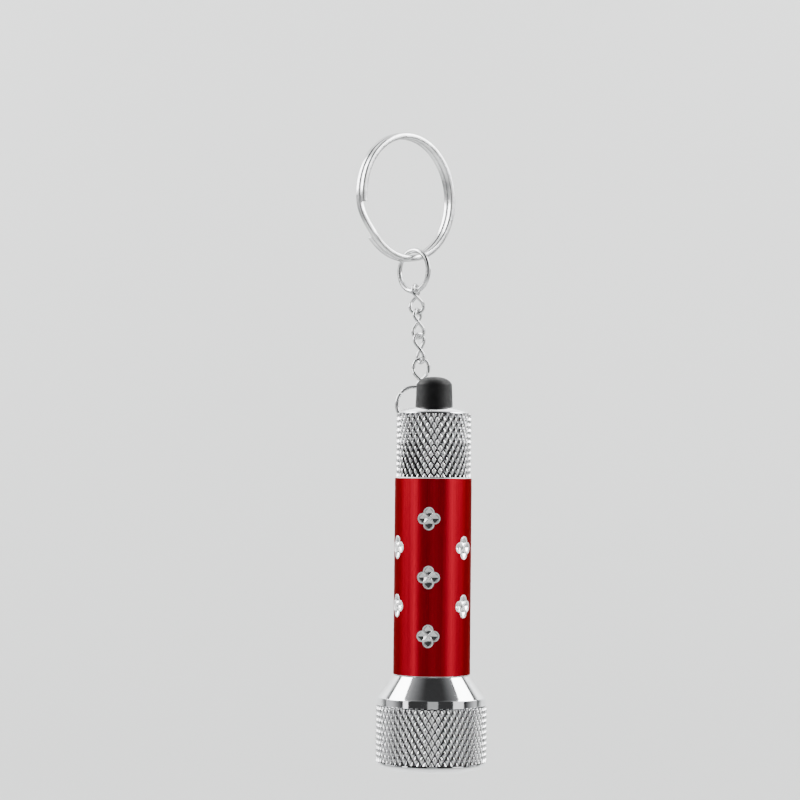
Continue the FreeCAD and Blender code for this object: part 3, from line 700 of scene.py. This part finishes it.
def motif_height(u, v):
    """Height over the skin, so never above 0, in millimetres.

    A bead runs along the edge. Each lobe holds a pit with four flat facets, and a low cross
    stands between the lobes.
    """
    depth = inside_depth(u, v)
    if depth < MOTIF_RIM:
        return -BEAD_TOP - BEAD_HEIGHT * (2 * depth / MOTIF_RIM - 1) ** 2
    lobe_x, lobe_y = (math.copysign(1, u), 0) if abs(u) > abs(v) else (0, math.copysign(1, v))
    x, y = u - LOBE_SPREAD * lobe_x * PIT_PLACE, v - LOBE_SPREAD * lobe_y * PIT_PLACE
    across, along = (x + y) * math.sqrt(0.5), (x - y) * math.sqrt(0.5)
    pit = max(0.0, 1 - max(abs(across), abs(along)) / PIT_HALF_WIDTH)
    floor = -FACET_TOP - FACET_DEPTH * pit
    off_diagonal = abs(abs(u) - abs(v)) * math.sqrt(0.5)
    if off_diagonal < CROSS_WIDTH:
        return max(floor, -CROSS_TOP - FACET_TOP * off_diagonal / CROSS_WIDTH)
    return floor


def motif_faces():
    """Rings of points from the outline in to the middle, joined as quads; the bead's rings lie closer."""
    outline = motif_outline()
    count = len(outline)
    bead_rings, inner_rings = 9, 17
    bead_end = 1 - 1.15 * MOTIF_RIM / (LOBE_RADIUS + LOBE_SPREAD)
    scales = [1 - (1 - bead_end) * i / bead_rings for i in range(bead_rings)]
    scales += [bead_end * (1 - i / inner_rings) for i in range(inner_rings)]
    rings = len(scales)
    points = []
    for scale in scales:
        points += [(u * scale, v * scale) for u, v in outline]
    points.append((0.0, 0.0))
    faces = []
    for ring in range(rings - 1):
        for k in range(count):
            n = (k + 1) % count
            low, high = ring * count, (ring + 1) * count
            faces.append((low + k, low + n, high + n, high + k))
    last = (rings - 1) * count
    faces += [(last + k, last + (k + 1) % count, rings * count) for k in range(count)]
    return points, faces, count


def motif_inserts(material):
    """The cut metal of all motifs: faceted faces with a skirt that runs down to the pocket's floor."""
    points, flat_faces, count = motif_faces()
    verts, faces = [], []
    for turn, height in motif_places():
        base = len(verts)
        verts += [wrap(u, v, motif_height(u, v), turn, height) for u, v in points]
        floor = len(verts)
        verts += [wrap(u, v, -MOTIF_DEPTH, turn, height) for u, v in points[:count]]
        verts.append(wrap(0, 0, -MOTIF_DEPTH, turn, height))
        faces += [tuple(base + i for i in face) for face in flat_faces]
        for k in range(count):
            n = (k + 1) % count
            faces.append((floor + k, floor + n, base + n, base + k))
            faces.append((floor + n, floor + k, floor + count))
    inserts = new_object("motif_cuts", verts, faces, smooth_angle=MOTIF_SMOOTH)
    dress(inserts, material)
    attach(inserts, "barrel")


def pocket_cutters():
    """Prisms that cut every motif's pocket out of the barrel, a hair larger than the inserts."""
    outline = motif_outline(grow=0.01)
    count = len(outline)
    verts, faces = [], []
    for turn, height in motif_places():
        base = len(verts)
        for w in (-MOTIF_DEPTH, 0.5):
            verts += [wrap(u, v, w, turn, height) for u, v in outline]
        faces.append(tuple(base + k for k in range(count - 1, -1, -1)))
        faces.append(tuple(base + count + k for k in range(count)))
        for k in range(count):
            n = (k + 1) % count
            faces.append((base + k, base + n, base + count + n, base + count + k))
    return new_object("pocket_cutters", verts, faces)


def barrel(material, edge_material):
    """Red tube with polished end bevels; its pockets hold the cut motifs."""
    low, high = BARREL_LOW, BARREL_HIGH
    bevel, bore_bevel = 0.16, 0.1
    threaded = 5.0
    mouth = THREAD_BORE + 0.08
    steps = 40
    rows = [(mouth, low), (BARREL_RADIUS - bevel, low), (BARREL_RADIUS, low + bevel)]
    rows += [(BARREL_RADIUS, low + bevel + (high - low - 2 * bevel) * i / steps) for i in range(1, steps + 1)]
    rows += [(BARREL_RADIUS - bevel, high), (mouth, high), (THREAD_BORE, high - bore_bevel),
             (THREAD_BORE, high - threaded), (CELL_BORE, high - threaded - bore_bevel),
             (CELL_BORE, low + threaded + bore_bevel), (THREAD_BORE, low + threaded),
             (THREAD_BORE, low + bore_bevel)]
    tube_piece = lathe("red_barrel", rows, 240)
    cut(tube_piece, pocket_cutters())
    mesh = tube_piece.data
    mesh.set_sharp_from_angle(angle=math.radians(PLAIN_SMOOTH))
    mesh.materials.clear()
    mesh.materials.append(material)
    mesh.materials.append(edge_material)
    # only the outer skin is dyed; the ends, the bore and the pockets are bare metal
    skin = (BARREL_RADIUS - 0.05) * MM
    for face in mesh.polygons:
        away = math.hypot(face.center.x - AXIS.x, face.center.y - AXIS.y)
        face.material_index = 0 if away > skin else 1
    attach(tube_piece, "barrel")
    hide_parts("barrel")


# ---------------------------------------------------------------- head
HEAD_TEETH = 54
BAND_RADIUS = 9.7
BAND_LENGTH = 1.4
CONE_FOOT = HEAD_HIGH + JOINT_GAP + BAND_LENGTH
HEAD_BORE = 8.4
SPIGOT_RADIUS = HEAD_BORE - JOINT_GAP
SKIRT_BORE = 7.45
APERTURE = 7.2
LENS_SEAT = 7.85
ROUND = 216  # columns of the smooth turned pieces
TIP = 0.01  # an open profile starts and ends this close to its axis
LAMPS = range(1, 6)
LAMP_RADIUS = 2.5
LAMP_FLANGE = 2.65
LAMP_HOLE = 2.55


def head_ring(material):
    columns = HEAD_TEETH * KNURL_STEPS
    edge, root = HEAD_RADIUS - 0.42, HEAD_RADIUS - KNURL_DEPTH
    rows = [(HEAD_BORE, HEAD_LOW), (edge, HEAD_LOW), (root, HEAD_LOW + 0.08)]
    rows += knurl_rows(HEAD_RADIUS, HEAD_TEETH, HEAD_LOW + 0.12, HEAD_HIGH - 0.12, columns)
    rows += [(root, HEAD_HIGH - 0.06), (edge, HEAD_HIGH), (HEAD_BORE, HEAD_HIGH)]
    ring = dress(lathe("knurled_head_ring", rows, columns, smooth_angle=KNURL_SMOOTH), material)
    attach(ring, "head")
    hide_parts("head_ring")


def head_housing(material):
    """Band, cone, seal groove and threaded neck, bored for the board and the spring."""
    low, high = level("head_housing", 0), level("head_housing", 1)
    shoulder = BARREL_LOW - JOINT_GAP
    groove = shoulder + GROOVE_WIDTH
    board_seat = level("led_board", 1) + 0.02
    rows = [(SKIRT_BORE, low), (SPIGOT_RADIUS, low), (SPIGOT_RADIUS, HEAD_HIGH + 0.03),
            (BAND_RADIUS - 0.04, HEAD_HIGH + 0.03), (BAND_RADIUS, HEAD_HIGH + 0.08)]
    edge = 0.1
    rows += [(BAND_RADIUS, CONE_FOOT - edge)]
    rows += arc_rows((BAND_RADIUS - edge, CONE_FOOT - edge), edge, 8, 45, 5)
    foot, tip = rows[-1], (BARREL_RADIUS - 0.12, shoulder)
    cone_steps = 16
    for i in range(1, cone_steps + 1):
        t = i / cone_steps
        rows.append((foot[0] + (tip[0] - foot[0]) * t, foot[1] + (tip[1] - foot[1]) * t))
    rows += [(GROOVE_RADIUS, shoulder + 0.01), (GROOVE_RADIUS, groove), (NECK_ROOT, groove + 0.02)]
    rows += thread_rows(groove + 0.2, high - 0.05, ROUND)
    rows += [(NECK_ROOT, high), (NECK_BORE + 0.2, high), (NECK_BORE, high - 0.15),
             (NECK_BORE, board_seat), (SKIRT_BORE, board_seat)]
    housing = dress(lathe("cone_housing", rows, ROUND), material)
    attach(housing, "head")
    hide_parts("head_housing")


def front_ring(material):
    """Smooth rolled lip that holds the lens; a fine joint line parts it from the knurled ring."""
    spigot_end = level("front_ring", 1)
    face_radius, seat_height = 8.5, 0.85
    lip_width, lip_height, inner_edge = HEAD_RADIUS - 0.12 - face_radius, 1.15, 0.22
    rows = [(LENS_SEAT, spigot_end), (LENS_SEAT, seat_height), (APERTURE, seat_height), (APERTURE, 0.25)]
    rows += arc_rows((APERTURE + inner_edge, inner_edge), inner_edge, 180, 270, 6)
    rows += [(face_radius, 0.0)]
    lip_steps = 10
    for i in range(1, lip_steps + 1):
        a = math.pi / 2 * i / lip_steps
        rows.append((face_radius + lip_width * math.sin(a), lip_height * (1 - math.cos(a))))
    rows += [(HEAD_RADIUS - 0.14, HEAD_LOW - 0.03), (HEAD_RADIUS - 0.45, HEAD_LOW - 0.02),
             (SPIGOT_RADIUS, HEAD_LOW - 0.02), (SPIGOT_RADIUS, spigot_end)]
    ring = dress(lathe("front_lip", rows, ROUND), material)
    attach(ring, "head")
    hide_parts("front_ring")


def lens(material):
    low, high = level("lens", 0), level("lens", 1)
    size = radius("lens")
    shares = [i / 8 for i in range(1, 8)]
    rows = [(TIP, low)]
    rows += [(size * share, low) for share in shares]
    rows += [(size - 0.2, low), (size - 0.06, low + 0.06), (size, low + 0.2)]
    rows += [(size, high - 0.1), (size - 0.1, high)]
    rows += [(size * share, high) for share in reversed(shares)]
    rows += [(TIP, high)]
    disc = dress(lathe("clear_window", rows, 144, closed=False), material)
    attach(disc, "head")
    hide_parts("lens")


def reflector(material):
    """Bright plate with a flared cup around each lamp."""
    low, high = level("reflector", 0), level("reflector", 1)
    size, inner = radius("reflector"), SKIRT_BORE - 0.05
    rows = [(TIP, low), (size - 0.1, low), (size, low + 0.1), (size, low + 0.5), (inner, low + 0.52),
            (inner, high), (TIP, high)]
    plate = lathe("lamp_reflector", rows, 144, closed=False)
    cup = [(LAMP_HOLE + 0.55, low - 0.3), (LAMP_HOLE + 0.50, low + 0.02), (LAMP_HOLE + 0.2, low + 0.45),
           (LAMP_HOLE, low + 1.0), (LAMP_HOLE, high + 0.3)]
    for number in LAMPS:
        cut(plate, lathe("cup_cutter", cup, 64, closed=False, centre=lamp_place(number)))
    plate.data.set_sharp_from_angle(angle=math.radians(PLAIN_SMOOTH))
    dress(plate, material)
    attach(plate, "head")
    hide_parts("reflector")


def lamp_place(number):
    """A lamp's two level offsets from the torch axis, in millimetres."""
    low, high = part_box(f"led_{number}")
    middle = (low + high) / 2
    return (middle.x - AXIS.x) / MM, (middle.y - AXIS.y) / MM


def lamps(epoxy, chip, frame_metal):
    """Clear domed lamps, each with its reflector cup, phosphor and post showing inside."""
    dome_steps = 12
    for number in LAMPS:
        place = lamp_place(number)
        low, high = level(f"led_{number}", 0), level(f"led_{number}", 1)
        rows = [(TIP, low)]
        for i in range(1, dome_steps + 1):
            a = math.pi / 2 * i / dome_steps
            rows.append((LAMP_RADIUS * math.sin(a), low + LAMP_RADIUS * (1 - math.cos(a))))
        rows += [(LAMP_RADIUS, high - 0.85), (LAMP_FLANGE, high - 0.80), (LAMP_FLANGE, high - 0.05),
                 (LAMP_FLANGE - 0.05, high), (TIP, high)]
        lamp = dress(lathe(f"lamp_{number}", rows, 64, closed=False, centre=place), epoxy)
        cup_low = low + 3.6
        rows = [(TIP, cup_low + 0.35), (0.35, cup_low + 0.35), (0.75, cup_low), (0.9, cup_low),
                (0.9, cup_low + 0.5), (0.35, cup_low + 1.2), (0.3, high - 0.2), (TIP, high - 0.2)]
        cup = dress(lathe(f"lamp_cup_{number}", rows, 32, closed=False, centre=place), frame_metal)
        rows = [(TIP, cup_low + 0.12), (0.45, cup_low + 0.14), (0.6, cup_low + 0.2), (0.36, cup_low + 0.33),
                (TIP, cup_low + 0.33)]
        phosphor = dress(lathe(f"lamp_phosphor_{number}", rows, 24, closed=False, centre=place), chip)
        for piece, name in ((lamp, "clear_epoxy"), (cup, "tinned_leads"), (phosphor, "resistor_body")):
            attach(piece, "head")
        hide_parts(f"led_{number}")


# ---------------------------------------------------------------- rings and chain
LINK_WIRE = 0.3
LINK_WAIST = 0.16  # share by which a link narrows halfway
LINKS = [
    # name, joint at its lower end, length, width, azimuth of the top arc, twist, lean, lateness of twist
    ("chain_link_4", "cap_ring_swing", 6.6, 3.4, 12, 98, 1.2, 1.5),
    ("chain_link_3", "chain_link_4_swing", 5.85, 2.8, 40, 80, -5.5, 1.0),
    ("chain_link_2", "chain_link_3_swing", 5.75, 2.75, 60, 92, -3.4, 1.0),
    ("chain_link_1", "chain_link_2_swing", 5.75, 3.0, 64, 106, -4.6, 1.0),
]


def link_path(low, length, width, top_azimuth, twist, lean, late):
    """Closed centre line of a twisted link, standing on its lower wire centre.

    The twist is counted from the top; a late one comes mostly in the lower half.
    """
    bend = (width - 2 * LINK_WIRE) / 2
    half = (length - 2 * LINK_WIRE) / 2
    straight = half - bend
    flat = []
    arc_steps, side_steps = 18, 22
    for i in range(arc_steps):
        a = math.pi * i / arc_steps
        flat.append((bend * math.cos(a), straight + bend * math.sin(a)))
    for i in range(side_steps):
        flat.append((-bend, straight - 2 * straight * i / side_steps))
    for i in range(arc_steps):
        a = math.pi + math.pi * i / arc_steps
        flat.append((bend * math.cos(a), -straight + bend * math.sin(a)))
    for i in range(side_steps):
        flat.append((bend, -straight + 2 * straight * i / side_steps))
    tilt = math.radians(lean)
    up = Vector((math.sin(tilt), 0, math.cos(tilt)))
    middle = low + up * (half * MM)
    across = Vector((math.cos(tilt), 0, -math.sin(tilt)))
    points = []
    for side, z in flat:
        t = smoothstep(max(0.0, (straight - z) / (2 * straight)) ** late)
        turn = math.radians(top_azimuth + twist * t)
        s = side * (1 - LINK_WAIST * math.sin(math.pi * t) ** 2)
        sideways = across * (s * math.cos(turn)) + Vector((0, s * math.sin(turn), 0))
        points.append(middle + (sideways + up * z) * MM)
    return points


def chain(material):
    for name, lower_joint, *shape in LINKS:
        path = link_path(Vector(JOINTS[lower_joint]["pos_m"]), *shape)
        link = dress(tube(f"twisted_{name}", path, round_section(LINK_WIRE, 16), True), material)
        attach(link, name)
        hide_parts(name)


# radii of rings, half widths of wires, and angles where an open ring starts and how far it goes round
CAP_RING_RADIUS = 3.2
CAP_RING_WIRE = 0.325
CAP_RING_START, CAP_RING_SWEEP = 142, 356
JUMP_RADIUS = 3.7
JUMP_WIRE = 0.45
JUMP_AZIMUTH = -46
JUMP_START, JUMP_SWEEP = 200.8, 358.4


def arc_path(centre, side, size, start, sweep):
    """Arc in the upright plane through a level direction."""
    steps = 120
    points = []
    for i in range(steps + 1):
        a = math.radians(start + sweep * i / steps)
        points.append(centre + (side * math.cos(a) + UP * math.sin(a)) * (size * MM))
    return points


def centre_of(node):
    low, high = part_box(node)
    return (low + high) / 2


def cap_ring(material):
    path = arc_path(centre_of("cap_ring"), azimuth(0), CAP_RING_RADIUS, CAP_RING_START, CAP_RING_SWEEP)
    ring = dress(tube("cap_wire_ring", path, round_section(CAP_RING_WIRE, 16), False), material)
    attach(ring, "cap_ring")
    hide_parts("cap_ring")


def jump_ring(material):
    path = arc_path(centre_of("jump_ring"), azimuth(JUMP_AZIMUTH), JUMP_RADIUS, JUMP_START, JUMP_SWEEP)
    ring = soften(tube("jump_wire_ring", path, round_section(JUMP_WIRE, 20), False), 0.05, 50)
    dress(ring, material)
    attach(ring, "jump_ring")
    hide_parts("jump_ring")


SPLIT_RADIUS = 11.05
SPLIT_INSET = 0.005  # keeps the wire's facets inside the CAD ring
SPLIT_AZIMUTH = 44
SPLIT_WIDTH = 1.1
SPLIT_HEIGHT = 1.03
SPLIT_LAYER = (SPLIT_HEIGHT + 0.04) / 2  # each turn's distance from the middle plane
SPLIT_CROSSOVER = 34  # degrees over which the wire steps from one turn to the other
SPLIT_START = 205 + SPLIT_CROSSOVER / 2


def split_ring(material):
    """Two turns of flat wire with rounded edges, stepped over each other at the crossover."""
    corner, per_corner = 0.30, 5
    section = []
    for sx, sz, start in ((1, 1, 0), (-1, 1, 90), (-1, -1, 180), (1, -1, 270)):
        for i in range(per_corner + 1):
            a = math.radians(start + 90 * i / per_corner)
            section.append((sx * (SPLIT_WIDTH / 2 - corner) + corner * math.cos(a),
                            sz * (SPLIT_HEIGHT / 2 - corner) + corner * math.sin(a)))
    side = azimuth(SPLIT_AZIMUTH)
    normal = side.cross(UP)
    centre = Vector((0, 0, -(SPLIT_RADIUS - SPLIT_WIDTH / 2) * MM))
    sweep = 360 - SPLIT_CROSSOVER
    turn_steps, cross_steps = 110, 18
    stations = [(SPLIT_START + sweep * i / turn_steps, -SPLIT_LAYER) for i in range(turn_steps)]
    for i in range(cross_steps + 1):
        t = i / cross_steps
        stations.append((SPLIT_START + sweep + SPLIT_CROSSOVER * t, SPLIT_LAYER * (2 * smoothstep(t) - 1)))
    stations += [(SPLIT_START + 360 + sweep * i / turn_steps, SPLIT_LAYER) for i in range(1, turn_steps + 1)]
    verts = []
    for angle, shift in stations:
        out = side * math.cos(math.radians(angle)) + UP * math.sin(math.radians(angle))
        for a, b in section:
            reach = SPLIT_RADIUS - SPLIT_INSET + a
            verts.append(centre + out * (reach * MM) + normal * ((shift + b) * MM))
    ring = new_object("double_split_ring", verts, tube_faces(len(stations), len(section), False), WIRE_SMOOTH)
    soften(ring, 0.08, 60)
    dress(ring, material)
    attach(ring, "key_ring")
    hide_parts("split_ring")


# ---------------------------------------------------------------- inner pieces keep their CAD shape
def dress_inner_nodes():
    nodes = frame["nodes"]
    steel = wire_metal("cell_steel", (0.74, 0.75, 0.76), (0.20, 0.34), (1, 1, 8))
    brass = wire_metal("contact_brass", (0.80, 0.60, 0.26), (0.18, 0.32))
    spring = wire_metal("contact_spring", (0.80, 0.74, 0.58), (0.16, 0.28))
    seal = rubber("seal_rubber", (0.012, 0.012, 0.012), (0.3, 0.45), 900)
    looks = {
        "switch_plunger": plastic("plunger_plastic", (0.82, 0.82, 0.80)),
        "switch_cover": plastic("switch_plastic", (0.035, 0.035, 0.038)),
        "moving_contact": brass, "fixed_contact": brass, "contact_rivet": brass,
        "switch_spring": spring, "negative_spring": spring, "positive_spring": spring,
        "switch_retainer": wire_metal("turned_aluminium", (0.78, 0.79, 0.80), (0.25, 0.4), (1, 1, 10)),
        "tail_oring": seal, "head_oring": seal, "lens_gasket": seal,
        "battery_sleeve": card("sleeve_card", (0.86, 0.84, 0.78)),
        "led_board": circuit_board(), "resistor": plastic("resistor_lacquer", (0.62, 0.47, 0.30)),
        "led_leads": wire_metal("tinned_leads", (0.78, 0.78, 0.76), (0.2, 0.35)),
    }
    looks["switch_housing"] = looks["switch_cover"]
    for number in range(1, 5):
        looks[f"battery_{number}"] = steel
    for name, material in looks.items():
        dress(nodes[name], material)
    return looks


# ---------------------------------------------------------------- studio
# the studio's sizes and the lights' are in metres
def studio():
    """Pale sweep of floor and wall behind the hanging torch."""
    width, near_y, wall_y, floor_z, top_z, bend = 2.4, -1.6, 0.95, -0.62, 2.2, 0.40
    steps = 16
    rows = [(near_y, floor_z), (wall_y - bend, floor_z)]
    for i in range(1, steps + 1):
        a = math.pi / 2 * i / steps
        rows.append((wall_y - bend + bend * math.sin(a), floor_z + bend * (1 - math.cos(a))))
    rows.append((wall_y, top_z))
    verts = [(x, y, z) for y, z in rows for x in (-width, width)]
    faces = [(2 * i, 2 * i + 1, 2 * i + 3, 2 * i + 2) for i in range(len(rows) - 1)]
    sweep = new_object("studio_sweep", verts, faces, 180)
    m = Nodes("studio_paper").set(Roughness=0.9)
    m.link(m.ramp(m.noise(3, 2), (0.3, (0.72, 0.73, 0.725)), (0.7, (0.75, 0.76, 0.755))), "Base Color")
    dress(sweep, m.material)


def area_light(name, place, target, size, power):
    data = bpy.data.lights.new(name, "AREA")
    data.shape = "RECTANGLE"
    data.size, data.size_y = size
    data.energy = power
    lamp = bpy.data.objects.new(name, data)
    lamp.location = place
    lamp.rotation_euler = (Vector(target) - Vector(place)).to_track_quat("-Z", "Y").to_euler()
    bpy.context.scene.collection.objects.link(lamp)


DARK_TURN = math.radians(5)  # the dim side faces the viewer, turned a little to the right
ROOM_STOPS = (
    # share of the way from the dim side round to the far side, brightness
    (0.0, 0.055),
    (0.34, 0.05),
    (0.45, 0.36),
    (0.56, 0.92),
    (1.0, 0.98),
)
ROOM_STRENGTH = 0.9


def world_light():
    """Bright room behind and beside the torch, and a dim one on the viewer's side."""
    world = bpy.data.worlds.new("room")
    bpy.context.scene.world = world
    world.use_nodes = True
    tree = world.node_tree
    background = tree.nodes["Background"]
    place = tree.nodes.new("ShaderNodeTexCoord")
    away = tree.nodes.new("ShaderNodeVectorMath")
    away.operation = "DOT_PRODUCT"
    away.inputs[1].default_value = (-math.sin(DARK_TURN), math.cos(DARK_TURN), 0)
    tree.links.new(place.outputs["Generated"], away.inputs[0])
    ramp = tree.nodes.new("ShaderNodeValToRGB")
    shift = tree.nodes.new("ShaderNodeMath")
    shift.operation = "MULTIPLY_ADD"
    shift.inputs[1].default_value = 0.5
    shift.inputs[2].default_value = 0.5
    tree.links.new(away.outputs["Value"], shift.inputs[0])
    tree.links.new(shift.outputs["Value"], ramp.inputs["Fac"])
    while len(ramp.color_ramp.elements) < len(ROOM_STOPS):
        ramp.color_ramp.elements.new(0.5)
    for element, (at, value) in zip(ramp.color_ramp.elements, ROOM_STOPS):
        element.position = at
        element.color = (value, value, value * 1.01, 1)
    tree.links.new(ramp.outputs["Color"], background.inputs["Color"])
    background.inputs["Strength"].default_value = ROOM_STRENGTH


def lights():
    """Two tall strips beside the torch, a weak front fill, a soft top light and two lights on the wall."""
    middle = bench(0, 0, 35)
    raised = Vector((0, 0, 0.28))
    left, right = middle + Vector((-0.68, -0.45, 0)), middle + Vector((0.66, -0.40, 0))
    area_light("key_left", left + raised, middle + raised, (0.16, 0.96), 1.35)
    area_light("fill_right", right + raised, middle + raised, (0.34, 0.96), 1.65)
    area_light("front_fill", middle + Vector((0.04, -0.9, 0.04)), middle, (0.35, 0.45), 0.24)
    area_light("top_soft", middle + Vector((0.0, 0.66, 0.95)), middle, (2.0, 0.9), 16)
    for name, x in (("wall_left", -0.9), ("wall_right", 0.9)):
        area_light(name, Vector((x, 0.25, 0.5)), Vector((0, 0.9, 0.0)), (0.8, 0.8), 26)


CAMERA_DISTANCE = 475
CAMERA_HEIGHT = 55
VIEW_WIDTH = 143
CAMERA_SIDE = -6.1
AIM_HEIGHT = 65.55
CAMERA_ROLL = 0.55
SENSOR_WIDTH = 36


def camera():
    """Long lens, level with the torch's upper half and looking slightly up."""
    data = bpy.data.cameras.new("view")
    data.sensor_width = SENSOR_WIDTH
    data.lens = SENSOR_WIDTH * CAMERA_DISTANCE / VIEW_WIDTH
    data.clip_start = 0.01
    eye = bpy.data.objects.new("view", data)
    eye.location = bench(CAMERA_SIDE, -CAMERA_DISTANCE, CAMERA_HEIGHT)
    aim = bench(CAMERA_SIDE, 0, AIM_HEIGHT)
    look = (aim - eye.location).to_track_quat("-Z", "Y").to_matrix()
    eye.rotation_euler = (look @ Matrix.Rotation(math.radians(CAMERA_ROLL), 3, "Z")).to_euler()
    bpy.context.scene.collection.objects.link(eye)
    bpy.context.scene.camera = eye


# ---------------------------------------------------------------- build
def build():
    smooth = chrome()
    bright_wire = wire_metal("chain_steel", (0.86, 0.865, 0.87), (0.16, 0.28), edge=0.08)
    cut_metal = cut_aluminium()
    inner = dress_inner_nodes()
    tail_cap(knurled_chrome("cap_knurl_chrome", CAP_RADIUS, KNURL_DEPTH), smooth)
    push_button(rubber("button_rubber", (0.006, 0.006, 0.0065)))
    barrel(red_anodised(), cut_metal)
    motif_inserts(cut_metal)
    head_ring(knurled_chrome("head_knurl_chrome", HEAD_RADIUS, KNURL_DEPTH))
    head_housing(smooth)
    front_ring(smooth)
    lens(clear("lens_acrylic", (0.97, 0.98, 0.985)))
    reflector(chrome("reflector_silver", (0.84, 0.85, 0.86), (0.10, 0.2)))
    lamps(clear("lamp_epoxy", (0.96, 0.97, 0.985), 0.02, 1.53),
          plastic("lamp_phosphor", (0.85, 0.80, 0.22)), inner["led_leads"])
    chain(bright_wire)
    cap_ring(bright_wire)
    jump_ring(bright_wire)
    split_ring(wire_metal("spring_steel", (0.90, 0.905, 0.91), (0.16, 0.30), (4, 4, 4)))
    studio()
    world_light()
    lights()
    camera()


build()
